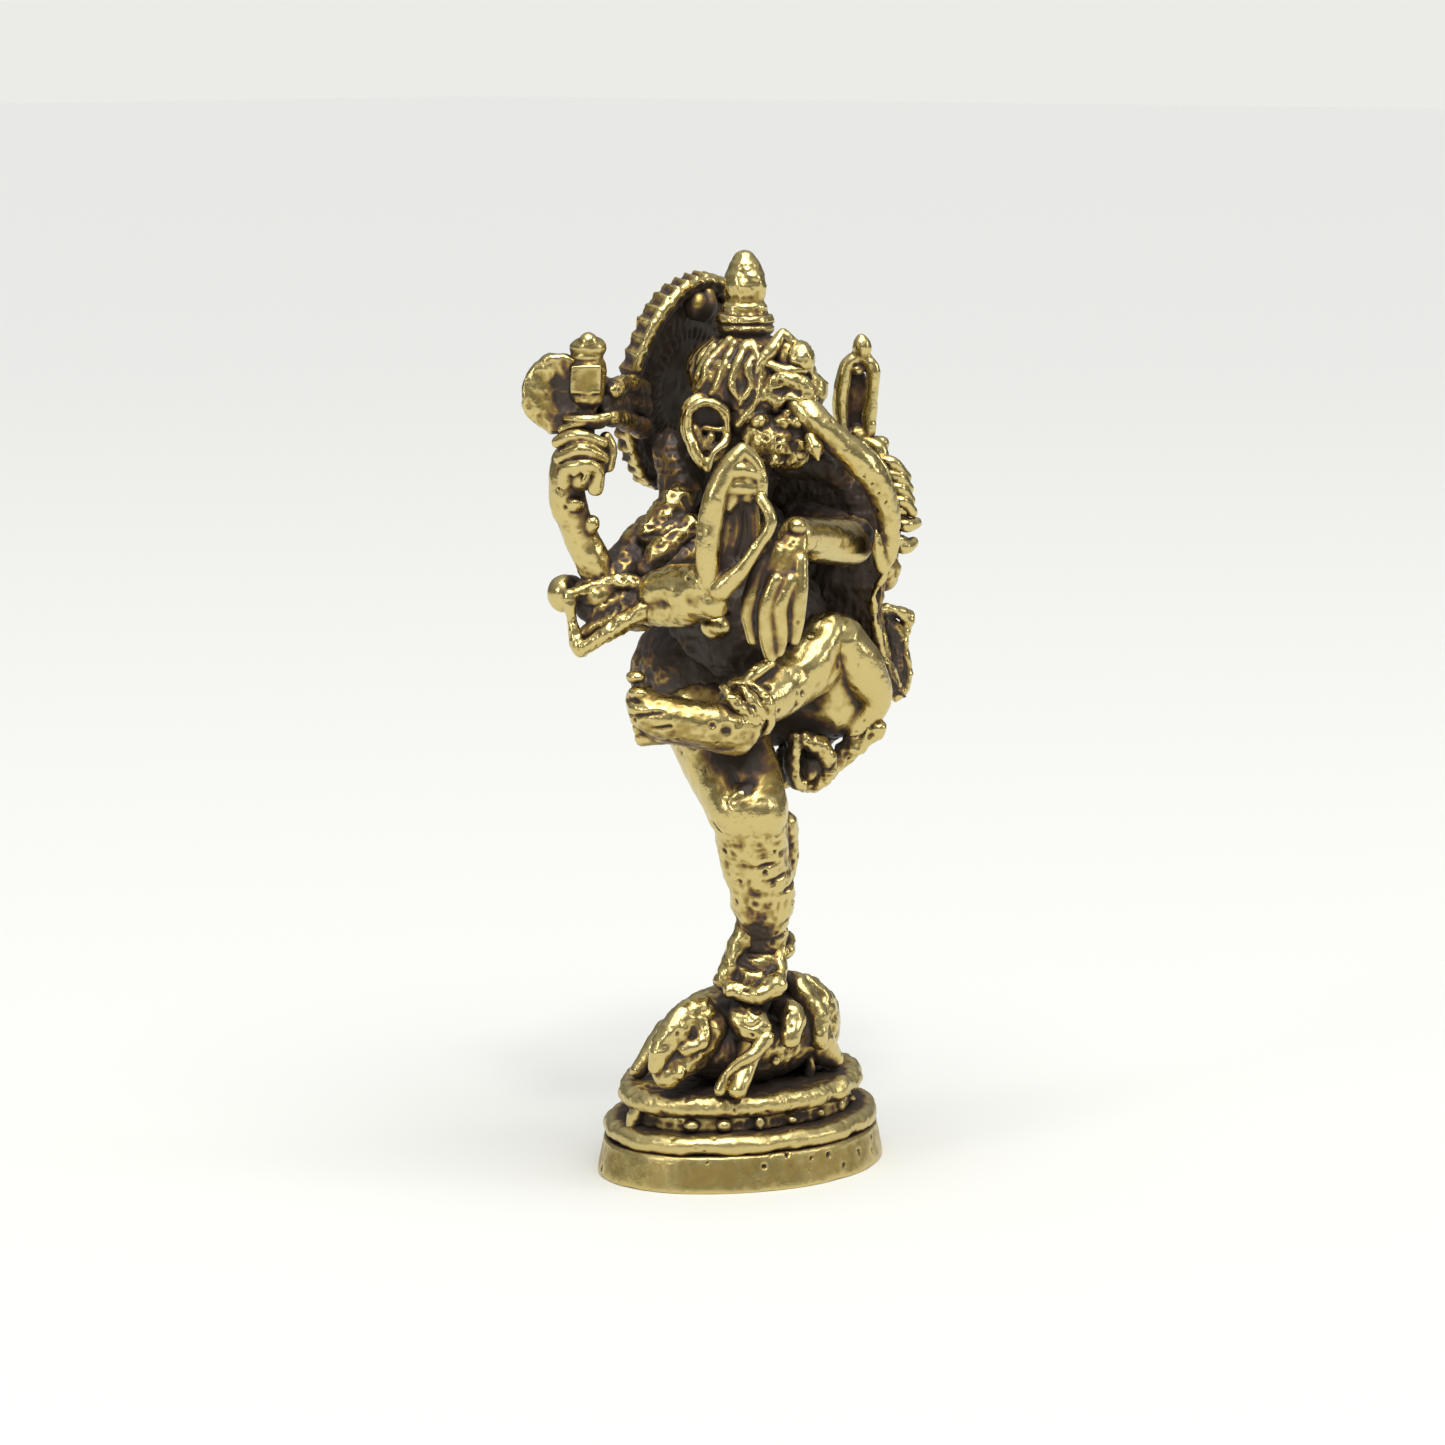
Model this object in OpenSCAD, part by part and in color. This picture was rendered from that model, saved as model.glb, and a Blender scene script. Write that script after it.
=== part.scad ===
// Dancing Ganesha, a solid cast brass miniature on an oval plinth.
// +Z is up, the figure faces -Y and its right hand is on -X.
// The origin is the middle of the plinth's flat underside. Millimetres.

/* [Base] */
// Length of the plinth's foot, from the figure's right to its left
base_length = 17.4; // [16:0.1:18]
// Width of the plinth's foot, from front to back
base_width = 13.8; // [13:0.1:14]
// Height of the plain drum at the bottom
drum_h = 1.9; // [1.6:0.1:2.2]
// Height of the whole stepped base
base_h = 4.8; // [4.6:0.1:5]

/* [Figure] */
// Height of the crown's tip above the ground
total_h = 48.3; // [48:0.1:49]
// Radius of an arm at the wrist
wrist_r = 0.95; // [0.8:0.05:1.1]
// Radius of an arm at the elbow
elbow_r = 1.2; // [1.1:0.05:1.4]
// Radius of an arm at the shoulder
shoulder_r = 1.6; // [1.4:0.05:1.8]
// Thickness of the scarf and other cast sheets
sheet_t = 0.7; // [0.5:0.05:0.9]

/* [Head] */
// Half width of the halo behind the head
halo_rx = 4.7; // [4.4:0.1:5]
// Half height of the halo
halo_rz = 6.0; // [5.6:0.1:6.2]
// Number of points round the halo's rim
halo_points = 40; // [24:2:48]
// How far the halo's top leans forward, in degrees
halo_lean = 12; // [8:1:14]

/* [Hidden] */
$fn = 48;

brass = "goldenrod";
old_brass = "darkgoldenrod";

// Joints of the skeleton
hip_r = [-2.0, 0.4, 24.6];
hip_l = [1.6, 0.8, 24.6];
knee_stand = [-3.6, -3.7, 19.8];
calf_stand = [-2.2, -3.5, 14.6];
ankle_stand = [-1.4, -2.8, 11.9];
thigh_bend = [3.5, -3.2, 25.0];
knee_up = [1.9, -4.3, 27.5];
ankle_up = [-5.8, -5.0, 25.0];
foot_heel = [-0.4, -2.0, 10.9];
foot_ball = [-2.5, -3.2, 10.7];
should_rr = [-4.4, 1.6, 33.4];
elbow_rr = [-8.7, 2.1, 31.0];
wrist_rr = [-9.6, 2.0, 36.2];
fist_rr = [-9.8, 2.0, 38.0];
should_lr = [4.4, 1.4, 33.4];
elbow_lr = [9.3, -1.4, 31.0];
wrist_lr = [10.1, -1.4, 34.6];
fist_lr = [9.3, -0.4, 36.7];
should_rf = [-4.2, -0.2, 33.0];
elbow_rf = [-7.6, 0.2, 30.3];
wrist_rf = [-7.5, -4.6, 31.0];
should_lf = [4.0, -0.6, 33.4];
elbow_lf = [2.7, -5.3, 33.3];
wrist_lf = [-3.4, -6.8, 34.2];
head_at = [-0.2, -1.2, 40.2];
crown_at = [-0.3, -0.5, 43.2];
halo_at = [-0.2, 3.9, 41.3];
axe_at = [-9.7, 1.9, 38.0];
noose_at = [9.3, 0, 40.3];

// The base is an oval of four arcs: end arcs at +-end_c, long arcs at +-long_c
end_r = 5.2;
end_c = base_length / 2 - end_r;
arc_gap = base_width / 2 - end_r;
long_c = (end_c * end_c - arc_gap * arc_gap) / (2 * arc_gap);
long_r = base_width / 2 + long_c;
end_half = atan2(long_c, end_c);

// Inset of each step of the base from the foot's outline
drum_in = 0.35;
neck_in = 1.7;
top_in = 1.1;
bead_h = 1.0;
neck_h = 0.8;
step_h = base_h - drum_h - bead_h - neck_h;

// Turns +Z onto the line from p to q
module along(p, q) {
    d = q - p;
    translate(p)
        rotate([0, acos(d.z / norm(d)), atan2(d.y, d.x)])
            children();
}

module ball(p, r) { translate(p) sphere(r); }

// An ellipsoid with half sizes r, turned by turn
module egg(p, r, turn = [0, 0, 0]) { translate(p) rotate(turn) scale(r) sphere(1); }

// A quarter round of radius r at height z, from angle a to angle b
function round_end(r, z, a, b) = [for (i = [0:5]) let (t = a + (b - a) * i / 5) [r * cos(t), z + r * sin(t)]];

// A rod with round ends, r1 at p and r2 at q, and waist its radius at the middle
module limb(p, q, r1, r2, waist = 0) {
    len = norm(q - p);
    mid = waist > 0 ? [[waist, len / 2]] : [];
    along(p, q)
        rotate_extrude()
            polygon(concat(
                [[0, -r1]],
                [for (v = round_end(r1, 0, -75, 0)) v],
                mid,
                [for (v = round_end(r2, len, 0, 75)) v],
                [[0, len + r2]]));
}

// A ring of wire radius w and ring radius r at p, its axis towards q
module ring(p, q, r, w) { along(p, q) rotate_extrude() translate([r, 0]) circle(w, $fn = 24); }

// A run of short rods through the points, with a slightly larger ball at each
module chain(points, radii) {
    for (i = [0:len(points) - 2])
        along(points[i], points[i + 1])
            cylinder(h = norm(points[i + 1] - points[i]), r1 = radii[i], r2 = radii[i + 1]);
    for (i = [0:len(points) - 1])
        ball(points[i], radii[i] * 1.06);
}

// A point part of the way from p to q
function between(p, q, t) = p + (q - p) * t;

// The oval with an edge profile: pairs of inset and height, bottom to top
module oval_turn(profile) {
    z0 = profile[0][1];
    z1 = profile[len(profile) - 1][1];
    for (s = [-1, 1]) {
        translate([0, -s * long_c, 0])
            rotate([0, 0, s * 90 - (90 - end_half)])
                rotate_extrude(angle = 2 * (90 - end_half), $fn = 144)
                    polygon(concat([[0, z0]], [for (v = profile) [long_r - v[0], v[1]]], [[0, z1]]));
        translate([s * end_c, 0, 0])
            rotate([0, 0, (s > 0 ? 0 : 180) - end_half])
                rotate_extrude(angle = 2 * end_half, $fn = 96)
                    polygon(concat([[0, z0]], [for (v = profile) [end_r - v[0], v[1]]], [[0, z1]]));
    }
}

// Insets and heights of a half-round edge h high whose widest part is inset by edge
function half_round(edge, z, h, n = 6) =
    [for (i = [0:n]) let (t = -90 + 180 * i / n) [edge + h / 2 * (1 - cos(t)), z + h / 2 * (1 + sin(t))]];

module plinth_drum() { color(old_brass) oval_turn([[0, 0], [0.05, 0.3], [drum_in, drum_h]]); }

module plinth_bead() { color(brass) oval_turn(half_round(drum_in - 0.05, drum_h, bead_h)); }

module plinth_neck() {
    color(old_brass)
        oval_turn([[neck_in, drum_h + bead_h], [neck_in + 0.1, drum_h + bead_h + neck_h]]);
}

module plinth_top() { color(brass) oval_turn(half_round(top_in, base_h - step_h, step_h)); }

// The mouse lies across the base with its head to the figure's right
module mouse_body() {
    color(brass)
        difference() {
            union() {
                egg([-0.4, -0.9, 7.2], [5.2, 3.5, 2.7]);
                egg([2.9, -0.8, 7.2], [2.6, 3.0, 2.6]);
            }
            translate([-10, -10, base_h - 6]) cube([20, 20, 6]);
        }
}

module mouse_head() {
    color(brass)
        difference() {
            limb([-4.9, -1.6, 8.1], [-7.4, -1.5, 6.1], 1.5, 0.75, 1.35);
            egg([-0.4, -0.9, 7.2], [5.2, 3.5, 2.7]);
        }
}

module mouse_legs() {
    color(brass)
        for (s = [-1, 1]) {
            limb([-3.6, -0.9 + s * 3.0, 7.2], [-5.2, -0.9 + s * 3.5, 5.3], 0.7, 0.45);
            limb([2.0, -0.9 + s * 2.5, 6.6], [3.2, -0.9 + s * 2.8, 5.5], 1.1, 0.6);
        }
}

module standing_foot() {
    color(brass) {
        limb(foot_heel, foot_ball, 1.2, 1.3);
        for (i = [0:4])
            egg(foot_ball + [-1.55 + 0.42 * i, 0.3 - 0.47 * i, -0.4], [1.0, 0.38, 0.5], [0, 0, 30]);
    }
}

module standing_anklet() {
    color(brass)
        difference() {
            ring(between(ankle_stand, calf_stand, 0.1), calf_stand, 1.3, 0.38);
            limb(calf_stand, ankle_stand, 1.5, 1.25);
        }
}

module standing_shin() {
    color(brass)
        difference() {
            union() {
                limb(knee_stand, calf_stand, 1.95, 1.6);
                limb(calf_stand, ankle_stand, 1.5, 1.25);
            }
            limb(foot_heel, foot_ball, 1.2, 1.3);
        }
}

module standing_thigh() {
    color(brass)
        difference() {
            limb(hip_r, knee_stand, 2.8, 2.1);
            limb(knee_stand, calf_stand, 1.95, 1.6);
        }
}

module thigh_up() {
    limb(hip_l, thigh_bend, 2.7, 2.35);
    limb(thigh_bend, knee_up, 2.2, 1.9);
}

module shin_up() { limb(knee_up, ankle_up, 1.75, 1.25, 1.6); }

module raised_thigh() { color(brass) difference() { thigh_up(); standing_thigh(); } }

module raised_shin() { color(brass) difference() { shin_up(); thigh_up(); } }

module raised_anklet() {
    color(brass) difference() { ring(between(ankle_up, knee_up, 0.12), knee_up, 1.3, 0.36); shin_up(); }
}

// The foot turns back past the hip, so its toes stand one above another
module raised_foot() {
    heel = [-6.0, -4.8, 24.2];
    ball_of_foot = [-8.6, -2.6, 24.9];
    color(brass)
        difference() {
            union() {
                limb(heel, ball_of_foot, 1.2, 1.25);
                for (i = [0:4])
                    limb(ball_of_foot + [0, 0, 0.7 - 0.35 * i], [-9.4 + 0.05 * i, -1.5, 26.1 - 0.55 * i],
                        0.6, 0.42);
            }
            shin_up();
        }
}

module hips_egg() { egg([-0.2, 1.6, 26.4], [4.7, 4.3, 3.5]); }

module chest_egg() { egg([0, 1.2, 32.0], [4.9, 3.3, 3.6]); }

module hips() {
    color(old_brass)
        difference() {
            hips_egg();
            thigh_up();
            standing_thigh();
        }
}

module belly_egg() { egg([0, -0.4, 28.6], [4.4, 4.1, 4.0]); }

module belly() {
    color(old_brass)
        difference() {
            belly_egg();
            hips_egg();
            thigh_up();
            standing_thigh();
            shin_up();
        }
}

module chest() {
    color(old_brass)
        difference() {
            chest_egg();
            belly_egg();
            hips_egg();
        }
}

module belt_clasp() {
    color(brass)
        difference() {
            egg([-4.3, -2.2, 28.3], [0.9, 0.9, 0.75]);
            belly_egg();
        }
}

module loin_drape() {
    color(brass)
        difference() {
            hull() {
                egg([3.6, -2.6, 23.6], [1.6, 1.6, 1.0]);
                egg([1.9, -1.2, 20.6], [1.2, 0.7, 0.6]);
            }
            thigh_up();
            standing_thigh();
            hips_egg();
        }
}

// The web between the trunk, the left arm and the body, with a concave front edge
module left_scarf() {
    top = [[-1.2, 11.2], [0.8, 11.8], [1.8, 12.4], [3.2, 12.0], [4.5, 10.6]];
    front = [[5.6, 8.2], [5.1, 6.2], [4.8, 4.4], [4.9, 2.8], [5.6, 1.0], [6.3, -0.2]];
    under = [[4.6, 0.2], [2.6, 1.6], [0, 2.6]];
    color(old_brass)
        difference() {
            translate([3.6, -0.2, 24.8]) rotate([90, 0, -56]) linear_extrude(sheet_t, center = true)
                polygon(concat(top, front, under));
            belly_egg();
            hips_egg();
            chest_egg();
            thigh_up();
            limb(should_lr, elbow_lr, shoulder_r, elbow_r);
            limb(should_lf, elbow_lf, shoulder_r, elbow_r);
        }
}

// A square block with half width a at the bottom and b at its top, h high
module frustum(a, b, h) {
    side = [[-a, 0], [a, 0], [b, h], [-b, h]];
    intersection() {
        rotate([90, 0, 0]) linear_extrude(4 * b, center = true) polygon(side);
        rotate([90, 0, 90]) linear_extrude(4 * b, center = true) polygon(side);
    }
}

// A scarf end: an open box of thin walls, wider at its mouth
module flare(a, b, h) {
    difference() {
        frustum(a, b, h);
        translate([0, 0, h * 0.35]) frustum(a * 0.9, b * 0.9 - 0.2, h * 0.66);
    }
}

module right_scarf_flare() {
    color(brass)
        difference() {
            translate([-7.6, -0.2, 29.9]) rotate([0, -62, -18]) flare(1.2, 1.9, 2.4);
            ball(elbow_rf, 1.25);
            along(elbow_rf, wrist_rf) cylinder(h = 4, r = 1.1);
        }
}

module left_scarf_flare() {
    color(brass)
        difference() {
            translate([6.8, -2.6, 26.9]) rotate([0, 78, -22]) flare(1.0, 1.6, 1.9);
            left_scarf();
            thigh_up();
        }
}

module right_scarf_curl() {
    color(brass)
        difference() {
            limb([-8.7, 4.2, 30.9], [-8.3, 2.6, 30.3], 0.9, 0.7);
            limb(should_rr, elbow_rr, shoulder_r, elbow_r);
            limb(elbow_rf, wrist_rf, elbow_r, wrist_r);
        }
}

// Cuts an arm's upper part back to the trunk of the body
module upper_arm(p, q) {
    difference() {
        limb(p, q, shoulder_r, elbow_r);
        chest_egg();
        belly_egg();
    }
}

// A forearm, cut back to the upper arm that it joins
module forearm(shoulder, elbow, wrist) {
    difference() {
        limb(elbow, wrist, elbow_r * 0.9, wrist_r, (elbow_r + wrist_r) / 2);
        limb(shoulder, elbow, shoulder_r, elbow_r);
    }
}

module bangle(elbow, wrist, t, r) {
    difference() {
        ring(between(elbow, wrist, t), wrist, r, 0.3);
        limb(elbow, wrist, elbow_r, wrist_r);
    }
}

module right_rear_upper_arm() { color(brass) upper_arm(should_rr, elbow_rr); }

module right_rear_forearm() { color(brass) forearm(should_rr, elbow_rr, wrist_rr); }

// A fist: four fingers wrapped round a shaft
module fist(at, wrist, reach) {
    difference() {
        union() {
            limb(between(wrist, at, 0.3), at, wrist_r, 1.2);
            for (i = [0:3])
                translate([0, 0, 1.0 - 0.62 * i]) limb(at + reach, at - reach * 0.3, 0.42, 0.42);
        }
        limb(between(at, wrist, 2), wrist, wrist_r, wrist_r);
    }
}

module right_rear_fist() {
    color(brass)
        difference() {
            fist(fist_rr, wrist_rr, [-0.5, -0.9, 0]);
            cylinder_shaft();
        }
}

module left_rear_upper_arm() { color(brass) upper_arm(should_lr, elbow_lr); }

module left_rear_forearm() { color(brass) forearm(should_lr, elbow_lr, wrist_lr); }

module left_rear_bangles() {
    color(brass) {
        bangle(elbow_lr, wrist_lr, 0.45, 1.2);
        bangle(elbow_lr, wrist_lr, 0.88, 1.1);
    }
}

module left_rear_fist() { color(brass) fist(fist_lr, wrist_lr, [0.7, -0.7, 0]); }

module right_front_upper_arm() {
    color(brass)
        difference() {
            upper_arm(should_rf, elbow_rf);
            limb(should_rr, elbow_rr, shoulder_r, elbow_r);
        }
}

module right_front_forearm() { color(brass) forearm(should_rf, elbow_rf, wrist_rf); }

// The open hand is raised, palm forward, with a hollow palm
module blessing_hand() {
    color(brass)
        difference() {
            union() {
                egg([-7.5, -5.6, 33.4], [1.7, 1.3, 2.9]);
                for (i = [0:3])
                    limb([-8.2 + 0.5 * i, -5.3 - 0.4 * i, 35.2],
                        [-7.4 + 0.3 * i, -5.8 - 0.2 * i, 38.2 + (i % 3 ? 0.4 : 0)],
                        0.52, 0.4);
                limb([-6.5, -6.5, 33.6], [-6.1, -7.0, 35.6], 0.6, 0.45);
            }
            egg([-7.9, -6.5, 34.0], [1.0, 0.9, 1.7], [0, 0, -40]);
            limb(elbow_rf, wrist_rf, elbow_r, wrist_r);
        }
}

module left_front_upper_arm() {
    color(brass)
        difference() {
            upper_arm(should_lf, elbow_lf);
            limb(should_lr, elbow_lr, shoulder_r, elbow_r);
        }
}

module left_front_forearm() { color(brass) forearm(should_lf, elbow_lf, wrist_lf); }

// The hand hangs from the wrist with its fingers down
module hanging_hand() {
    color(brass)
        difference() {
            union() {
                limb([-4.1, -6.9, 33.7], [-4.7, -6.9, 32.0], 1.15, 1.4);
                for (i = [0:3])
                    limb([-5.5 + 0.6 * i, -6.2 - 0.5 * i, 31.6],
                        [-5.9 + 0.5 * i, -6.1 - 0.4 * i, 29.0 + (i % 3 ? 0 : 0.7)],
                        0.56, 0.4);
            }
            limb(elbow_lf, wrist_lf, elbow_r, wrist_r);
        }
}

module cylinder_shaft() { along(axe_at - [0, 0, 1.6], axe_at + [0, 0, 6.4]) cylinder(h = 5.6, r = 0.4); }

// The shaft carries a flared collar, the square eye of the axe and a knob
module axe_shaft() {
    color(brass) {
        cylinder_shaft();
        translate(axe_at + [0, 0, 1.6])
            rotate_extrude()
                polygon([[0, 0], [0.9, 0], [1.35, 0.5], [1.2, 0.7], [0.5, 0.5], [0.5, 1.1], [0, 1.1]]);
        translate(axe_at + [0, 0, 4.1]) rotate([0, 0, 42]) cube([1.9, 1.5, 1.4], center = true);
        translate(axe_at + [0, 0, 4.7])
            rotate_extrude()
                polygon([[0, 0], [0.55, 0], [0.85, 0.5], [0.8, 0.8], [0.45, 1.15], [0, 1.2]]);
    }
}

// The blade is a crescent in the plane through the shaft that runs outwards and back
module axe_blade() {
    color(brass)
        translate(axe_at + [0, 0, 3.3])
            rotate([90, 0, 132])
                difference() {
                    linear_extrude(0.9, center = true)
                        difference() {
                            translate([1.3, 0]) circle(2.0);
                            translate([-1.0, 2.0]) circle(1.2);
                            translate([-1.0, -2.0]) circle(1.2);
                        }
                    rotate([90, 0, 0]) cylinder(h = 9, r = 0.4, center = true);
                    translate([0, 0.8, 0]) cube([1.5, 1.5, 1.9], center = true);
                }
}

// The noose is an upright oval loop with a knot on top, and a thin web left inside it
module noose() {
    color(brass)
        translate(noose_at)
            rotate([90, 0, -48]) {
                difference() {
                    linear_extrude(1.5, center = true) scale([1.25, 2.6]) circle(1);
                    translate([0, 0, 0.25]) linear_extrude(1.4) scale([0.65, 1.8]) circle(1);
                    translate([0, 0, -1.65]) linear_extrude(1.4) scale([0.65, 1.8]) circle(1);
                }
                translate([0, 2.5, 0]) sphere(0.6);
                translate([0, -2.6, 0]) cube([0.9, 0.7, 0.9], center = true);
            }
}

module neck() {
    color(old_brass)
        difference() {
            limb([0, 1.2, 34.2], [-0.1, 0.2, 38.0], 2.3, 2.1);
            chest_egg();
            head_solid();
        }
}

module head_solid() {
    egg(head_at, [2.9, 3.2, 3.0]);
    egg(head_at + [-1.2, -2.3, 1.0], [1.2, 1.1, 1.0]);
    egg(head_at + [1.2, -2.3, 1.0], [1.2, 1.1, 1.0]);
    egg(head_at + [-1.4, -2.0, -1.3], [1.4, 1.6, 1.3]);
    egg(head_at + [1.4, -2.0, -1.3], [1.4, 1.6, 1.3]);
}

module head() { color(brass) head_solid(); }

module trunk() {
    color(brass)
        difference() {
            union() {
                chain(
                    [[-0.7, -4.4, 40.6], [-0.3, -5.9, 39.4], [0.6, -6.7, 37.9], [1.8, -7.2, 36.2],
                    [2.7, -7.4, 34.4]],
                    [1.2, 1.05, 0.95, 0.88, 0.82]);
                limb([2.75, -7.35, 34.2], [3.0, -7.15, 32.8], 0.72, 0.66);
                egg([2.35, -7.1, 33.5], [0.36, 0.5, 0.95], [0, 8, 0]);
            }
            egg(head_at, [2.9, 3.2, 3.0]);
        }
}

module tusks() {
    color(brass)
        difference() {
            union() {
                limb([-1.3, -3.9, 38.8], [-1.1, -4.9, 38.1], 0.5, 0.4);
                limb([1.9, -3.7, 38.8], [2.6, -5.0, 37.6], 0.5, 0.22);
            }
            head_solid();
        }
}

// An ear is a shallow dish with a raised rim, at side s
module ear(s) {
    translate(head_at + [s * 3.6, 0.3, -0.9])
        rotate([0, 0, s * 32])
            difference() {
                egg([0, 0, 0], [1.3, 0.65, 1.9], [0, s * 12, 0]);
                egg([0, -0.55, 0.2], [0.9, 0.4, 1.3], [0, s * 12, 0]);
            }
}

module right_ear() { color(brass) difference() { ear(-1); head_solid(); } }

module left_ear() { color(brass) difference() { ear(1); head_solid(); } }

module hair() {
    color(brass)
        difference() {
            egg(head_at + [0, 0.7, 1.6], [2.9, 3.0, 2.3]);
            head_solid();
            crown_stack();
        }
}

// A band round the brow with a leaf at the front and a smaller one at each side
module diadem() {
    color(brass)
        difference() {
            union() {
                translate(head_at + [0, 0.1, 2.3])
                    rotate([8, 0, 0])
                        rotate_extrude()
                            translate([2.75, 0])
                                circle(0.42, $fn = 24);
                for (a = [-55, 0, 55])
                    translate(head_at + [0, 0.2, 2.4])
                        rotate([0, 0, a])
                            egg([0, -2.8, 0.7], [a == 0 ? 0.8 : 0.6, 0.4, a == 0 ? 1.3 : 0.9]);
            }
            egg(head_at + [0, 0.7, 1.6], [2.9, 3.0, 2.3]);
            head_solid();
        }
}

module crown_stack() {
    tip = total_h - crown_at.z;
    translate(crown_at)
        rotate_extrude()
            polygon([
                [0, -1.2], [1.3, -1.2], [1.2, 0.2], [1.25, 0.8], [1.45, 1.0], [1.5, 1.5], [1.4, 1.8],
                [1.1, 1.95],
                [1.1, 2.3], [0.95, 2.5], [1.12, 2.9], [1.14, 3.3], [1.0, 3.9], [0.7, 4.5], [0.35, tip - 0.1],
                [0, tip]]);
}

module crown() { color(brass) difference() { crown_stack(); head_solid(); } }

// The halo is a dished leaf with a pointed rim
module halo() {
    rim = [for (i = [0:halo_points * 2 - 1])
        let (a = 180 * i / halo_points, k = i % 2 ? 0.94 : 1)
            [halo_rx * k * cos(a), halo_rz * k * sin(a)]];
    color(old_brass)
        translate(halo_at)
            rotate([90 + halo_lean, 0, 0])
                difference() {
                    linear_extrude(1.1, center = true) polygon(rim);
                    translate([0, 0, 0.1]) linear_extrude(1) scale([halo_rx * 0.8, halo_rz * 0.84]) circle(1);
                }
}

// A boss near the top of the halo's face
module halo_boss() {
    color(brass)
        difference() {
            egg([-0.6, 2.6, 45.4], [0.7, 0.75, 0.8]);
            halo();
        }
}

// Runs left by the caster between the axe and the halo
module halo_bridge() {
    color(old_brass)
        difference() {
            union() {
                limb([-9.4, 2.4, 41.6], [-4.7, 3.8, 41.4], 0.6, 0.42);
                limb([-9.4, 2.4, 40.2], [-4.6, 4.0, 39.8], 0.6, 0.42);
                limb([-7.2, 3.0, 41.5], [-7.2, 3.1, 40.1], 0.45, 0.45);
            }
            axe_shaft();
            halo();
        }
}

plinth_drum();
plinth_bead();
plinth_neck();
plinth_top();
mouse_body();
mouse_head();
mouse_legs();
standing_foot();
standing_anklet();
standing_shin();
standing_thigh();
raised_thigh();
raised_shin();
raised_anklet();
raised_foot();
hips();
belly();
chest();
belt_clasp();
loin_drape();
left_scarf();
right_scarf_flare();
left_scarf_flare();
right_scarf_curl();
right_rear_upper_arm();
right_rear_forearm();
right_rear_fist();
left_rear_upper_arm();
left_rear_forearm();
left_rear_fist();
left_rear_bangles();
right_front_upper_arm();
right_front_forearm();
blessing_hand();
left_front_upper_arm();
left_front_forearm();
hanging_hand();
axe_shaft();
axe_blade();
noose();
neck();
head();
trunk();
tusks();
right_ear();
left_ear();
hair();
diadem();
crown();
halo();
halo_boss();
halo_bridge();
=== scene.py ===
"""A dancing Ganesha in cast brass. The frame gives the places; this gives the modelling and finish."""

import math

import bmesh
import bpy
import numpy as np
from mathutils import Euler, Matrix, Vector


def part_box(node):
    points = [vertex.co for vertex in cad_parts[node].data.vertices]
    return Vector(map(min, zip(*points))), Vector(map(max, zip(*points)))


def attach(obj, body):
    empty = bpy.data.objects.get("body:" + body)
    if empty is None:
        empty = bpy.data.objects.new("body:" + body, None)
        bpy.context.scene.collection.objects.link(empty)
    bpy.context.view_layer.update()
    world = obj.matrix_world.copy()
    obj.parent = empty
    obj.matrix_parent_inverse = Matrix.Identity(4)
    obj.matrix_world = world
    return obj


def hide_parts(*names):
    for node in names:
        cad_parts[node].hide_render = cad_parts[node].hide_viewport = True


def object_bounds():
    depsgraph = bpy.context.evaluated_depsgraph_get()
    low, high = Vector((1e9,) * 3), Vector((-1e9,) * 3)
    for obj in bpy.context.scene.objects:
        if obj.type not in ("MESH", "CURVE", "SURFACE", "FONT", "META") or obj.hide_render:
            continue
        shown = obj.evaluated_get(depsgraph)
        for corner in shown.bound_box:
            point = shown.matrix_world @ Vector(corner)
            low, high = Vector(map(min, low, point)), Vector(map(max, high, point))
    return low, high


bl_info = {
    "name": "Dancing Ganesha Casting",
    "version": (1, 0, 0),
    "blender": (4, 5, 0),
    "location": "3D Viewport > Sidebar > Casting",
    "description": "Models a lost-wax brass miniature over its packed frame",
    "category": "Object",
}

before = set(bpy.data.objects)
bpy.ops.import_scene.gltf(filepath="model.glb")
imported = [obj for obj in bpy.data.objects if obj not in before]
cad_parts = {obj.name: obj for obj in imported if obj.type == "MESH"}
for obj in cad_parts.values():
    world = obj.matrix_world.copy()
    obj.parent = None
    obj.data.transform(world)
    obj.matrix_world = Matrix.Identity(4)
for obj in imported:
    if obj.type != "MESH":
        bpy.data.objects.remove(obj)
CAD_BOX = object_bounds()
MM = 0.001
MOUSE_SEAT = 4.6  # Height in millimetres where the mouse is pressed into the plinth's top
FINE_WAX = 0.08  # Cell size in millimetres for small parts
FINEST_WAX = 0.07  # Cell size in millimetres for fingers, toes and thin edges
PATINA_CELL = 0.2  # Cell size in millimetres of the volume that tells crevices from high parts
PLINTH_NODES = ("plinth_drum", "plinth_bead", "plinth_neck", "plinth_top")

# The camera: degrees round from the front and above level, then metres and millimetres of lens
VIEW_AZIMUTH = -48
VIEW_ELEVATION = 8.3
VIEW_DISTANCE = 0.25
VIEW_LENS = 118.3
VIEW_TARGET = (-0.00066, 0.00073, 0.02355)


# ---- Sizes and colours that a user would change -----------------------------------------------


class CastingSizes(bpy.types.PropertyGroup):
    voxel: bpy.props.FloatProperty(
        name="Wax grain", description="Cell size of the modelled surface, in millimetres",
        default=0.1, min=0.06, max=0.3)
    roughness_depth: bpy.props.FloatProperty(
        name="Surface waviness", description="Depth of the hand-worked unevenness, in millimetres",
        default=0.07, min=0.0, max=0.2)
    crinkle: bpy.props.FloatProperty(
        name="Crinkle", description="How sharply the unevenness is creased",
        default=0.35, min=0.0, max=1.0)
    pit_depth: bpy.props.FloatProperty(
        name="Pit depth", description="Depth of the casting pits, in millimetres",
        default=0.11, min=0.0, max=0.3)
    pit_size: bpy.props.FloatProperty(
        name="Pit spacing", description="Typical distance between casting pits, in millimetres",
        default=0.75, min=0.3, max=2.0)


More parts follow.
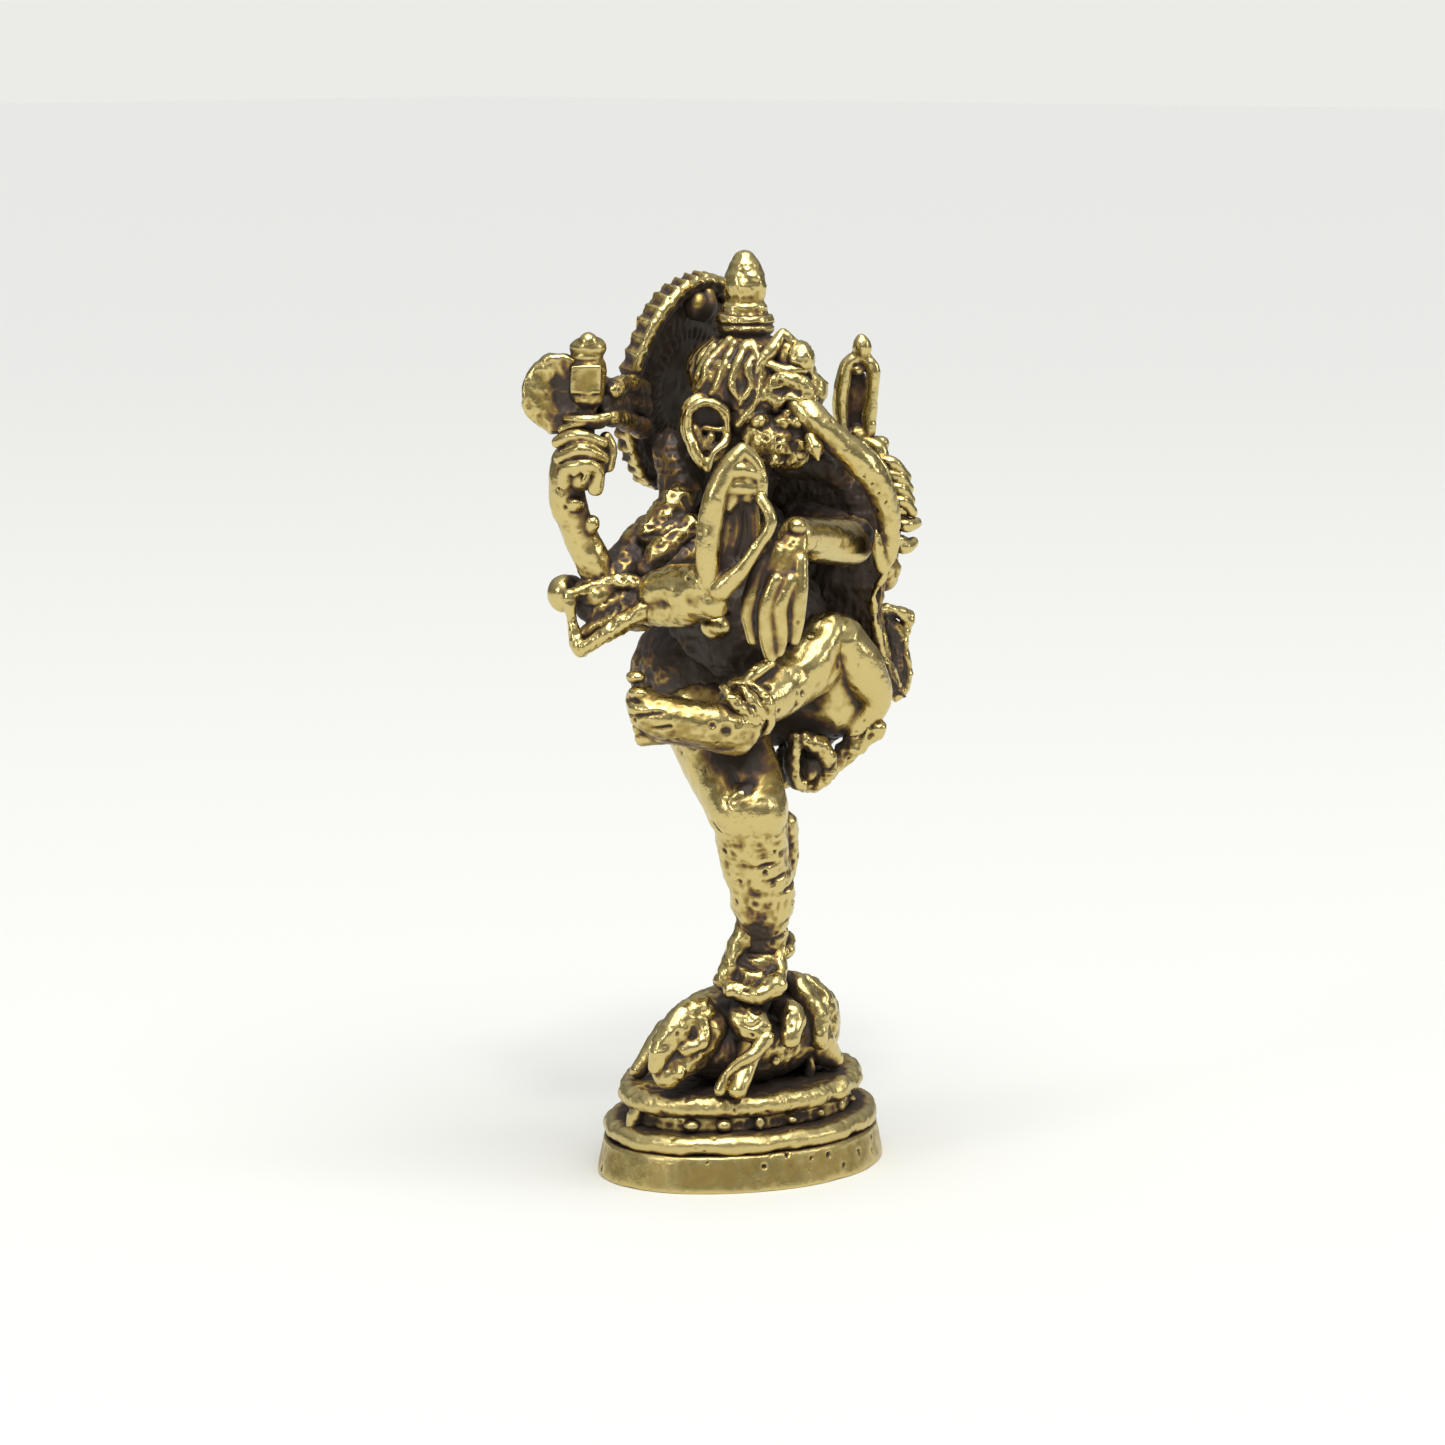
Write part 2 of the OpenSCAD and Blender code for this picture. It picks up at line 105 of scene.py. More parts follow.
class BrassFinish(bpy.types.PropertyGroup):
    polished: bpy.props.FloatVectorProperty(
        name="Polished brass", description="Colour of the buffed high parts",
        subtype="COLOR", size=3, default=(0.62, 0.50, 0.21))
    # Olive: lightly toned brass, and also the colour of the painted shade on faces that look down.
    worn_and_shaded: bpy.props.FloatVectorProperty(
        name="Olive brass", description="Colour of brass that is lightly toned",
        subtype="COLOR", size=3, default=(0.36, 0.26, 0.08))
    umber: bpy.props.FloatVectorProperty(
        name="Red-brown patina", description="Colour where the patina is thin",
        subtype="COLOR", size=3, default=(0.15, 0.073, 0.032))
    black: bpy.props.FloatVectorProperty(
        name="Black patina", description="Colour in the deepest recesses",
        subtype="COLOR", size=3, default=(0.046, 0.032, 0.021))


def sizes():
    return bpy.context.scene.casting_sizes


def finish_colours():
    return bpy.context.scene.brass_finish


# ---- Places on the frame ----------------------------------------------------------------------


def mid(node):
    """The middle of a CAD node's box, in millimetres."""
    low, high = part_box(node)
    return (low + high) / 2 / MM


def backing(points, centre, radius):
    """The same path as a thick strand, sunk towards a centre so that the first one rides on it."""
    out = []
    for p in points:
        place = Vector(p[:3])
        out.append((*(place + (centre - place).normalized() * radius * 0.95), radius))
    return out


def ring_of(a, b, share, radius):
    """Points of a closed ring round the line from a to b, a share of the way along."""
    turn = (b - a).to_track_quat("Z", "Y")
    centre = a.lerp(b, share)
    spots = [Vector((radius * math.cos(t), radius * math.sin(t), 0)) for t in np.linspace(0, math.tau, 13)]
    return [tuple(centre + turn @ p) for p in spots]


# ---- Wax tools --------------------------------------------------------------------------------


def turned(at, turn, size=(1, 1, 1)):
    spin = Euler([math.radians(a) for a in turn]).to_matrix().to_4x4()
    return Matrix.Translation(at) @ spin @ Matrix.Diagonal((*size, 1))


def smooth_path(points, steps=6):
    """Points on a Catmull-Rom curve through the given ones; each may carry a radius after x, y, z."""
    rows = [np.array(p, float) for p in points]
    rows = [2 * rows[0] - rows[1], *rows, 2 * rows[-1] - rows[-2]]
    out = []
    for a, b, c, d in zip(rows, rows[1:], rows[2:], rows[3:]):
        for k in range(steps):
            t = k / steps
            out.append(0.5 * (2 * b + (c - a) * t + (2 * a - 5 * b + 4 * c - d) * t * t
                              + (3 * b - a - 3 * c + d) * t ** 3))
    out.append(rows[-2])
    return np.array(out)


class Wax:
    """A lump of wax, built in millimetres from balls, rods and rings, and marked with a tool."""

    def __init__(self, node, bare=False):
        """Starts from the CAD node's own shape, or from nothing where bare."""
        self.node = node
        self.bm = bmesh.new()
        self.marks = []
        self.stain_and_shade_paths = []
        if not bare:
            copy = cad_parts[node].data.copy()
            copy.transform(Matrix.Scale(1 / MM, 4))
            self.bm.from_mesh(copy)
            bpy.data.meshes.remove(copy)
        bmesh.ops.remove_doubles(self.bm, verts=self.bm.verts, dist=0.0005)

    def at(self, x, y, z):
        """A place so many millimetres from the middle of the node's box."""
        return mid(self.node) + Vector((x, y, z))

    def run(self, *points):
        """Places from the middle of the node's box; each may carry a radius after x, y, z."""
        middle = mid(self.node)
        return [(middle.x + p[0], middle.y + p[1], middle.z + p[2], *p[3:]) for p in points]

    def egg(self, place, size):
        size = (size,) * 3 if isinstance(size, (int, float)) else size
        bmesh.ops.create_icosphere(self.bm, subdivisions=3, radius=1, matrix=turned(place, (0, 0, 0), size))

    def rod(self, a, b, ra, rb, flat=1.0, across=None):
        """A rod from a to b. Flat below 1 thins it at right angles to across."""
        a, b = Vector(a), Vector(b)
        run = b - a
        if run.length < 1e-6:
            return
        z = run.normalized()
        x = Vector(across or (0, 0, 1))
        x = x - z * x.dot(z)
        x = x.normalized() if x.length > 1e-3 else z.orthogonal().normalized()
        axes = Matrix((x, z.cross(x), z)).transposed().to_4x4()
        squash = Matrix.Diagonal((1, flat, 1, 1))
        place = Matrix.Translation((a + b) / 2) @ axes @ squash
        bmesh.ops.create_cone(self.bm, cap_ends=True, segments=20, radius1=ra, radius2=rb,
                              depth=run.length, matrix=place)
        for end, r in ((a, ra), (b, rb)):
            bmesh.ops.create_icosphere(self.bm, subdivisions=2, radius=r,
                                       matrix=Matrix.Translation(end) @ axes @ squash)

    def strand(self, points, flat=1.0, across=None, steps=5):
        """A rod along a smooth path of (x, y, z, radius) points."""
        path = smooth_path(points, steps)
        for p, q in zip(path, path[1:]):
            self.rod(p[:3], q[:3], p[3], q[3], flat, across)

    def ring(self, place, axis, radius, wire):
        """A ring with its axis along the given direction."""
        bead = bmesh.new()
        bmesh.ops.create_circle(bead, segments=12, radius=wire,
                                matrix=turned((radius, 0, 0), (90, 0, 0)))
        geom = bead.verts[:] + bead.edges[:]
        bmesh.ops.spin(bead, geom=geom, cent=(0, 0, 0), axis=(0, 0, 1), dvec=(0, 0, 0),
                       angle=math.tau, steps=40, use_merge=True, use_duplicate=False)
        bmesh.ops.remove_doubles(bead, verts=bead.verts, dist=0.001)
        bmesh.ops.recalc_face_normals(bead, faces=bead.faces)
        spin = Vector(axis).to_track_quat("Z", "Y").to_matrix().to_4x4()
        bmesh.ops.transform(bead, verts=bead.verts,
                            matrix=Matrix.Translation(place) @ spin)
        self.take(bead)

    def take(self, other):
        mesh = bpy.data.meshes.new("part")
        other.to_mesh(mesh)
        other.free()
        self.bm.from_mesh(mesh)
        bpy.data.meshes.remove(mesh)

    def mark(self, points, width, depth):
        """A tool stroke along a smooth path. Positive depth cuts in, and negative raises a ridge."""
        path = smooth_path(points, 4) if len(points) > 1 else np.array(points, float)
        self.marks.append((path[:, :3], width, depth))

    def stain_and_shade(self, points, width, amount):
        """A band of tone along a path, used for patina, for polish and for a painted shadow: positive is
        darker, and negative is rubbed brighter.
        """
        path = smooth_path(points, 4) if len(points) > 1 else points
        self.stain_and_shade_paths.append((np.array(path, float)[:, :3], width, amount))


# ---- Surface noise ----------------------------------------------------------------------------


def lattice(cells, seed):
    """A repeatable random number from 0 to 1 for each whole-number cell."""
    x, y, z = (cells[:, i].astype(np.int64) for i in range(3))
    h = x * 73856093 ^ y * 19349663 ^ z * 83492791 ^ (seed * 2654435761 % 4294967291)
    h = (h ^ (h >> 13)) * 1274126177 & 0xFFFFFFFF
    h = (h ^ (h >> 16)) * 2246822519 & 0xFFFFFFFF
    return ((h ^ (h >> 15)) & 0xFFFFFF) / float(0xFFFFFF)


def waviness(points, cell, seed):
    """Smooth noise from -1 to 1 with features about one cell across."""
    p = points / cell
    low = np.floor(p)
    t = p - low
    t = t * t * (3 - 2 * t)
    total = np.zeros(len(p))
    for corner in np.ndindex(2, 2, 2):
        share = np.prod(np.where(corner, t, 1 - t), axis=1)
        total += share * lattice(low + corner, seed)
    return total * 2 - 1


def pits(points, cell, seed, share=0.5):
    """Round pits scattered one to a cell, as a depth from 0 to 1 at each point."""
    p = points / cell
    low = np.floor(p)
    depth = np.zeros(len(p))
    for shift in np.ndindex(3, 3, 3):
        c = low + np.array(shift) - 1
        centre = c + np.stack([lattice(c, seed + k) for k in (1, 2, 3)], axis=1)
        size = 0.10 + 0.16 * lattice(c, seed + 4)
        there = lattice(c, seed + 5) < share
        d = np.linalg.norm(p - centre, axis=1) / size
        depth = np.maximum(depth, np.where(there, np.clip(1 - d * d, 0, 1), 0))
    return depth


# ---- From wax to casting ----------------------------------------------------------------------


def array_of(mesh, what):
    rows = getattr(mesh, what)
    out = np.zeros(len(rows) * 3, np.float32)
    if what == "vertices":
        rows.foreach_get("co", out)
    else:
        rows.foreach_get("vector", out)
    return out.reshape(-1, 3).astype(float)


def distance_to_path(points, path):
    """Shortest distance from each point to a path of points."""
    if len(path) == 1:
        return np.linalg.norm(points - path[0], axis=1)
    best = np.full(len(points), 1e9)
    for a, b in zip(path, path[1:]):
        run = b - a
        t = np.clip((points - a) @ run / max(run @ run, 1e-9), 0, 1)
        best = np.minimum(best, np.linalg.norm(points - a - t[:, None] * run, axis=1))
    return best


def work_surface(mesh, wax, seed, wave, pit):
    """Moves the surface along its normals: tool marks, waviness and pits."""
    co = array_of(mesh, "vertices")
    normal = array_of(mesh, "vertex_normals")
    push = np.zeros(len(co))
    for path, width, depth in wax.marks:
        push -= depth * np.exp(-(distance_to_path(co, path) / width) ** 2)
    own = sizes()
    crinkle = 0.5 - np.abs(waviness(co, 0.55, seed + 4)) + 0.5 * (0.5 - np.abs(waviness(co, 0.27, seed + 5)))
    push += own.roughness_depth * wave * (waviness(co, 1.1, seed) + 0.4 * waviness(co, 0.5, seed + 9)
                                          + own.crinkle * wave * crinkle)
    if pit:
        push -= own.pit_depth * pit * pits(co, own.pit_size, seed + 20)
    co += normal * push[:, None]
    mesh.vertices.foreach_set("co", co.astype(np.float32).ravel())
    mesh.update()
    # Tone from the stain paths: patina and polish, and the painted shadow on the standing thigh.
    tone = np.zeros(len(co))
    for path, width, amount in wax.stain_and_shade_paths:
        tone += amount * np.exp(-(distance_to_path(co, path) / width) ** 4)
    return tone


CAST = {}


def cast(wax, smooth=4, wave=1.0, pit=0.5, bias=0.0, flat_below=None, voxel=None):
    """Turns wax into the finished piece that stands for its CAD node."""
    name = wax.node
    mesh = bpy.data.meshes.new(name)
    wax.bm.to_mesh(mesh)
    wax.bm.free()
    piece = bpy.data.objects.new(name, mesh)
    bpy.context.scene.collection.objects.link(piece)
    skin = piece.modifiers.new("Skin", "REMESH")
    skin.mode = "VOXEL"
    skin.voxel_size = (voxel or sizes().voxel) * 1
    soft = piece.modifiers.new("Soften", "SMOOTH")
    soft.factor = 0.5
    soft.iterations = smooth
    graph = bpy.context.evaluated_depsgraph_get()
    done = bpy.data.meshes.new_from_object(piece.evaluated_get(graph))
    piece.modifiers.clear()
    piece.data = done
    bpy.data.meshes.remove(mesh)
    done.name = name
    tone = work_surface(done, wax, sum(map(ord, name)), wave, pit)
    if flat_below is not None:
        co = array_of(done, "vertices")
        co[:, 2] = np.maximum(co[:, 2], flat_below)
        done.vertices.foreach_set("co", co.astype(np.float32).ravel())
    done.transform(Matrix.Scale(MM, 4))
    done.polygons.foreach_set("use_smooth", [True] * len(done.polygons))
    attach(piece, "root")
    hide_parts(name)
    CAST[name] = (piece, bias - tone)


# ---- Plinth -----------------------------------------------------------------------------------


class ModelPlinth(bpy.types.Operator):
    """Model the plinth's drum, rim bead, dark neck and top moulding"""
    bl_idname = "casting.plinth"
    bl_label = "Plinth"

    def execute(self, context):
        cast(Wax("plinth_drum"), wave=0.35, pit=2.6, bias=-0.3, flat_below=0)
        cast(Wax("plinth_bead"), wave=1.2, pit=0.9, bias=0.2)
        neck = Wax("plinth_neck")
        leaf = neck.run((-7.3, 1.1, -0.4, 0.25), (-7.1, 1, 0.1, 0.42), (-7.4, 0.5, 0.8, 0.2))
        neck.strand(leaf)
        low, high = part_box("plinth_neck")
        for k in range(7):
            a = math.radians(205 + 17 * k)
            at_edge = Vector(((high.x - low.x) / 2 * math.cos(a),
                              (high.y - low.y) / 2 * math.sin(a), low.z)) / MM
            neck.egg(at_edge + Vector((0, 0, 0.35)), (0.32, 0.32, 0.22 + 0.1 * (k % 3)))
        cast(neck, wave=1.8, pit=0.8, bias=0.34)
        top = Wax("plinth_top")
        for k in range(26):
            a = math.tau * k / 26
            top.mark(top.run((6.9 * math.cos(a), 5.2 * math.sin(a), 0.2)), 0.35,
                     0.08 if k % 3 else -0.12)
        cast(top, wave=2.0, pit=1.0, bias=0.08)
        return {"FINISHED"}


# ---- Mouse ------------------------------------------------------------------------------------


class ModelMouse(bpy.types.Operator):
    """Model the crouching mouse: body, head and paws"""
    bl_idname = "casting.mouse"
    bl_label = "Mouse"

    def execute(self, context):
        body = Wax("mouse_body")
        body.strand(body.run((0.6, -1.9, 2.7, 0.5), (0.9, -2.7, 2.1, 0.62), (1.1, -3.5, 1, 0.6),
                             (0.9, -3.9, -0.3, 0.5)))
        body.strand(body.run((2.5, -1.5, 2.2, 0.5), (3.3, -1.8, 1.3, 0.6), (3.3, -2.2, 0.2, 0.5)))
        body.strand(body.run((-1.5, -3.2, 1.7, 0.5), (-1.6, -4.1, 1.3, 0.72),
                             (-2.2, -4.4, 0.3, 0.45)))
        body.strand(body.run((-3.4, -2.1, 1.9, 0.5), (-3.7, -3, 1.2, 0.95), (-3.3, -3.7, 0.5, 0.6)))
        body.mark(body.run((-4.4, -1.6, 2.3), (-5.2, -2.2, 0.7), (-5.8, -2.2, -1.2)), 0.35, 0.35)
        body.mark(body.run((-2.4, -3.6, 2.2), (-3, -4.1, 0.6), (-3.6, -4, -1.3)), 0.28, 0.3)
        body.mark(body.run((-0.4, -3.9, 1.8), (-0.9, -4.7, 0.1), (-1.4, -4.8, -1.4)), 0.3, 0.3)
        body.mark(body.run((-4.8, -3.2, 1.4), (-4.2, -3.8, 1.2), (-3.8, -4.1, 1.7)), 0.1, 0.12)
        body.mark(body.run((-2.8, -4.3, 1.1), (-2.3, -4.7, 1)), 0.1, 0.12)
        cast(body, wave=2.0, pit=1.0, bias=0.03, flat_below=MOUSE_SEAT)
        head = Wax("mouse_head")
        head.strand(head.run((0.5, -0.4, 1.8, 0.9), (-1, -0.2, 1.1, 0.85), (-2, 0, 0, 0.62),
                             (-2.4, 0.1, -0.9, 0.42)))
        head.strand(head.run((-0.1, -0.9, 1.4, 0.5), (-0.3, -1.3, 0.4, 0.42), (-1.1, -0.8, 0, 0.3)))
        head.egg(head.at(-1.4, -0.7, -1.2), 0.3)
        head.mark(head.run((-1.4, -1.3, 0.4), (-1.9, -1, 0.5), (-1.9, -0.8, -0.2)), 0.12, 0.25)
        head.mark(head.run((-2.5, -0.8, 0.2)), 0.13, 0.2)
        head.mark(head.run((-2.9, -0.4, -0.5)), 0.1, 0.15)
        cast(head, wave=1.8, pit=1.0, bias=-0.04, flat_below=MOUSE_SEAT)
        legs = Wax("mouse_legs")
        legs.strand(legs.run((-2.6, -4, 1.5, 0.5), (-3.4, -3.9, 0.8, 0.32), (-4.2, -3.3, 0.2, 0.27),
                             (-4.6, -2.9, -0.4, 0.24), (-4.9, -2.8, -1.1, 0.3)))
        legs.strand(legs.run((2.1, -2.9, -0.5, 0.16), (2.3, -2.7, -1.1, 0.34),
                             (2.3, -2.7, -1.5, 0.32)))
        legs.egg(legs.at(-1, -3.2, -0.1), (0.26, 0.26, 0.3))
        cast(legs, smooth=2, wave=1.2, pit=0.4, bias=0.04, flat_below=MOUSE_SEAT, voxel=FINE_WAX)
        return {"FINISHED"}


# ---- Legs -------------------------------------------------------------------------------------


class ModelStandingLeg(bpy.types.Operator):
    """Model the leg that carries the figure, from the toes to the hip"""
    bl_idname = "casting.standing_leg"
    bl_label = "Standing leg"

    def execute(self, context):
        foot = Wax("standing_foot")
        foot.strand(foot.run((-2.1, 0.6, -0.1, 0.5), (-2.1, -0.8, -0.5, 0.42),
                             (-1.6, -1.7, -0.6, 0.45), (-0.8, -2.1, -0.1, 0.55)))
        foot.strand(foot.run((-0.6, 0, 2.7, 0.5), (-1.3, 0.2, 1.2, 0.6), (-2, 0.4, 0, 0.58)))
        foot.strand(foot.run((0.8, -0.9, 2.4, 0.45), (0.5, -1.2, 1, 0.48), (-0.4, -1.8, 0, 0.5)))
        for place in ((-2.4, -1.2, 0), (-2, -1.6, 0.3), (-1.6, -2, 0.2), (-2.2, -1.3, -0.3),
                      (-1.3, -2.4, 0.5)):
            foot.mark(foot.run(place), 0.16, 0.3)
        foot.mark(foot.run((-1.5, -0.5, 1), (-1.3, -1.1, 0.8), (-0.6, -1.7, 0.9)), 0.3, 0.35)
        cast(foot, smooth=3, wave=1.9, pit=1.2, bias=-0.12, voxel=FINE_WAX)
        anklet = Wax("standing_anklet")
        cast(anklet, wave=2.4, pit=1.2, bias=-0.35)
        shin = Wax("standing_shin")
        shin.mark(shin.run((-0.5, -0.4, -0.8), (-0.1, -0.1, -2.2), (0.1, 0.1, -3.7)), 0.42, 0.28)
        shin.strand(shin.run((-1.6, 0.4, 2.7, 0.9), (-1.3, 0.5, 1.3, 0.75), (-0.5, 0.7, -0.5, 0.6)))
        shin.strand(shin.run((1.4, -0.6, 2.3, 0.8), (1.8, -0.3, 0.8, 0.8), (1.8, 0, -0.7, 0.7)))
        shin.stain_and_shade(shin.run((-0.1, 0, -3.9), (0.8, 0.5, -6.2)), 1.5, 0.35)
        shin.stain_and_shade(shin.run((-0.5, -0.7, -1.4), (0, -0.4, -3.1)), 0.8, 0.3)
        for k in range(6):
            shin.mark(ring_of(shin.at(0.1, -0.2, 1), shin.at(1.2, 0.4, -3.3), k / 5,
                              1.75 - 0.09 * k), 0.11, 0.14 if k % 2 else 0.2)
        for place in ((-1.1, -0.9, 0.3), (-0.5, -1.5, 0.7), (-0.4, -1.6, -0.4), (-1.1, -0.9, 1.7),
                      (-0.6, -1.3, -2.1), (-1.2, -0.8, -1.3), (-0.1, -2, 1.1)):
            shin.mark(shin.run(place), 0.14, 0.16)
        cast(shin, wave=1.9, pit=1.5, bias=-0.12)
        thigh = Wax("standing_thigh")
        thigh.egg(thigh.at(-1.1, -2.8, -3.4), (1.75, 1.75, 1.7))
        thigh.mark(thigh.run((-2.4, -4, -1.9), (-3, -3.7, -2.5), (-3.1, -3.6, -3.8)), 0.1, -0.06)
        thigh.mark(thigh.run((-2.9, -2.7, -0.9), (-2.7, -3.2, -1.6), (-2.1, -3.8, -1)), 0.35, 0.5)
        # Painted shadow: the loin cloth's fold darkens the thigh above the knee along this band.
        thigh.stain_and_shade(thigh.run((-3.1, -2.2, -0.1), (-2.7, -3.2, -1.2), (-1, -3.8, -0.7)), 1.5, 0.55)
        thigh.mark(thigh.run((-2.9, -1.7, -3.7), (-2.7, -3.2, -4.7), (-1.2, -4.3, -4.8),
                             (0.5, -4, -4.1)), 0.12, 0.16)
        cast(thigh, wave=1.1, pit=0.8, bias=0.0)
        return {"FINISHED"}


class ModelRaisedLeg(bpy.types.Operator):
    """Model the lifted leg, from the hip to the toes"""
    bl_idname = "casting.raised_leg"
    bl_label = "Raised leg"

    def execute(self, context):
        thigh = Wax("raised_thigh")
        thigh.strand(thigh.run((-1, -3.8, 2.6, 1.45), (0.3, -4.4, 0.8, 1.3), (1.2, -4.4, -0.6, 1),
                               (1, -3.4, -2.2, 0.9)))
        thigh.mark(thigh.run((-2.9, -4.8, -0.2), (-2.2, -4.6, -1.2), (-1, -5, -1.7),
                             (1, -5.2, -1.5)), 0.14, 0.3)
        for k in range(5):
            thigh.mark(thigh.run((1.03 - 0.65 * k, -5.53 + 0.73 * k, -1.37 - 0.69 * k),
                                 (-0.3 - 0.65 * k, -5.54 + 0.72 * k, -1.62 - 0.68 * k),
                                 (-1.22 - 0.65 * k, -5.13 + 0.72 * k, -1.5 - 0.68 * k)), 0.1, 0.16)
        for place in ((-2.6, -3.8, 3.4), (-2, -4.4, 2.6), (-0.8, -5.7, 0.9), (-0.4, -6.2, 0),
                      (-1.4, -5, -0.8)):
            thigh.mark(thigh.run(place), 0.13, 0.12)
        cast(thigh, wave=0.8, pit=0.6, bias=0.26)
        shin = Wax("raised_shin")
        shin.strand(shin.run((3.8, -0.6, 2.3, 1.2), (2.1, -0.6, 0.8, 1.35), (0.4, -0.4, -0.4, 1.15),
                             (-1.4, -0.2, -1.1, 1.05)))
        shin.strand(shin.run((-0.9, -0.8, 1.2, 0.35), (-2, -0.7, 0.8, 0.4), (-2.5, -0.6, 0.4, 0.3)))
        shin.mark(shin.run((-2, -1.3, 0.6), (-1.4, -1.4, -0.6), (-1.1, -1, -1.6)), 0.12, 0.16)
        shin.mark(shin.run((2.1, -1.4, 2.7)), 0.2, 0.3)
        for place in ((0.6, -1.8, -0.4), (0.3, -1.5, -1), (-0.1, -1, -1.1), (0.9, -2.1, -1.1),
                      (-0.1, -1.1, 0.3), (1.1, -2.3, 0)):
            shin.mark(shin.run(place), 0.13, 0.2)
        cast(shin, wave=1.0, pit=0.8, bias=0.06)
        anklet = Wax("raised_anklet")
        anklet.strand(anklet.run((-2, 0, 1.3, 0.3), (-2.1, -0.7, 0.7, 0.34),
                                 (-1.2, -1.1, -0.2, 0.3)))
        anklet.strand(anklet.run((-1.2, -0.6, 1.2, 0.3), (-1, -1.1, 0.6, 0.32),
                                 (-0.4, -1.2, -0.2, 0.28)))
        cast(anklet, smooth=3, wave=2.2, pit=0.9, bias=-0.14)
        foot = Wax("raised_foot")
        foot.strand(foot.run((1.5, -1.6, -0.3, 1.1), (0, -1.2, -0.1, 1.15), (-1.4, -0.1, 0.2, 1.1),
                             (-2.3, 1.1, 0.6, 1), (-2.4, 1.6, 1.2, 0.85)))
        foot.egg(foot.at(1.5, -1.5, -0.9), (0.75, 0.75, 0.8))
        foot.egg(foot.at(-2.4, 2, 2.3), (0.42, 0.55, 0.34))
        foot.egg(foot.at(-2.8, 1.5, 1.6), (0.5, 0.6, 0.36))
        foot.egg(foot.at(-2.9, 1.4, 0.9), (0.45, 0.6, 0.33))
        foot.egg(foot.at(-2.7, 1.4, 0.2), (0.42, 0.6, 0.3))
        for place in ((-1.6, 0, 0.9), (-1.1, -0.5, 1), (-0.8, -0.8, 0.9), (-2.1, 0.6, 1.2)):
            foot.egg(foot.at(*place), 0.26)
        for k in range(4):
            foot.mark(foot.run((-2.98, 2.15, 1.97 - 0.74 * k), (-3.25, 0.94, 2.03 - 0.74 * k),
                               (-3.03 + 0.17 * k, 0.11 - 0.19 * k, 2.27 - 0.74 * k)), 0.09, 0.2)
        foot.mark(foot.run((-0.6, -1.1, 1.8), (-1.9, -0.6, 1.8), (-2.7, 0.4, 2.1)), 0.3, 0.35)
        foot.mark(foot.run((-0.3, -2.4, -0.3)), 0.32, 0.3)
        foot.mark(foot.run((-1, -2, 0.1)), 0.14, 0.22)
        cast(foot, smooth=3, wave=1.3, pit=1.2, bias=-0.34, voxel=FINE_WAX)
        return {"FINISHED"}


# ---- Body and scarf ---------------------------------------------------------------------------


class ModelBody(bpy.types.Operator):
    """Model the hips, belly, chest, clasp, neck and loin cloth"""
    bl_idname = "casting.body"
    bl_label = "Body"

    def execute(self, context):
        hips = Wax("hips")
        cast(hips, wave=1.8, pit=1.2, bias=-0.8)
        belly = Wax("belly")
        for k in range(5):
            belly.mark(belly.run((-7.83 + 0.09 * k, 0.77 - 0.09 * k, -0.2 - 0.45 * k),
                                 (-7.36, -1.24, -0.33 - 0.39 * k),
                                 (-6.61, -2.97, -0.51 - 0.28 * k)), 0.16, 0.14)
        # Dark patina with painted shade: the strong negative bias darkens the whole belly, also standing in
        # for the shadow it sits in.
        cast(belly, wave=2.2, pit=1.2, bias=-0.85)
        clasp = Wax("belt_clasp")
        clasp.egg(clasp.at(-0.5, -0.1, 0.9), (0.8, 0.8, 0.72))
        cast(clasp, wave=0.6, pit=0.3, bias=0.12, voxel=FINE_WAX)
        chest = Wax("chest")
        chest.strand(chest.run((-4.5, -1, 3.2, 0.75), (-5.5, -0.9, 2.2, 0.8),
                               (-6.3, -0.6, 1.5, 0.7)))
        chest.strand(chest.run((-5, -2.2, 1.9, 0.6), (-6.3, -1.6, 0.9, 0.75),
                               (-7.1, -1.1, -0.2, 0.6)))
        for k in range(7):
            chest.mark(chest.run((-5.49 - 0.15 * k, -2.58 + 0.17 * k, 3.52 - 0.44 * k),
                                 (-6.15 - 0.15 * k, -2.14 + 0.17 * k, 2.89 - 0.44 * k),
                                 (-6.54 - 0.12 * k, -1.11 + 0.13 * k, 2.73 - 0.46 * k)), 0.1, 0.2)
        # Dark patina with painted shade: the negative bias darkens the chest, also standing in for the
        # shadow it sits in.
        cast(chest, wave=2.6, pit=1.0, bias=-0.42)
        neck = Wax("neck")
        neck.strand(neck.run((-3.1, 1.4, 1.4, 0.9), (-3.2, 0.6, -0.3, 1.2), (-3.7, 0.3, -1.5, 1.1)))
        cast(neck, wave=2.4, pit=1.0, bias=-0.6)
        drape = Wax("loin_drape")
        drape.strand(drape.run((-3, -1.7, 1.4, 0.35), (-2.9, -1.5, 0.3, 0.42),
                               (-2.6, -1.3, -1, 0.36), (-1.7, -1.4, -1.5, 0.3)))
        drape.strand(drape.run((-2.6, -1.9, 1.3, 0.4), (-1.6, -2.4, 0.7, 0.45),
                               (-1, -2.3, -0.4, 0.42), (-1.3, -1.5, -1.5, 0.3)))
        drape.strand(drape.run((1.1, -3.6, 1.6, 0.6), (0.4, -2.5, 0.4, 0.6),
                               (-0.4, -1.7, -0.7, 0.5)))
        drape.mark(drape.run((-2.5, -2.3, 0.1)), 0.4, 0.4)
        drape.egg(drape.at(-1.4, -1.4, -0.2), (0.8, 0.8, 0.9))
        drape.stain_and_shade(drape.run((-2, -1.9, 0), (-1.2, -2.2, -0.1)), 0.7, 0.6)
        drape.mark(drape.run((-2, -2.9, 1.5), (-1.2, -3.4, 1.5)), 0.2, 0.3)
        for k in range(5):
            drape.mark(drape.run((-1.25 + 0.28 * k, -2.62 - 0.31 * k, -0.47 + 0.56 * k),
                                 (-0.91 + 0.28 * k, -3 - 0.31 * k, 0.2 + 0.48 * k)), 0.09, 0.16)
        cast(drape, smooth=2, wave=2.4, pit=1.0, bias=-0.15, voxel=FINE_WAX)
        return {"FINISHED"}


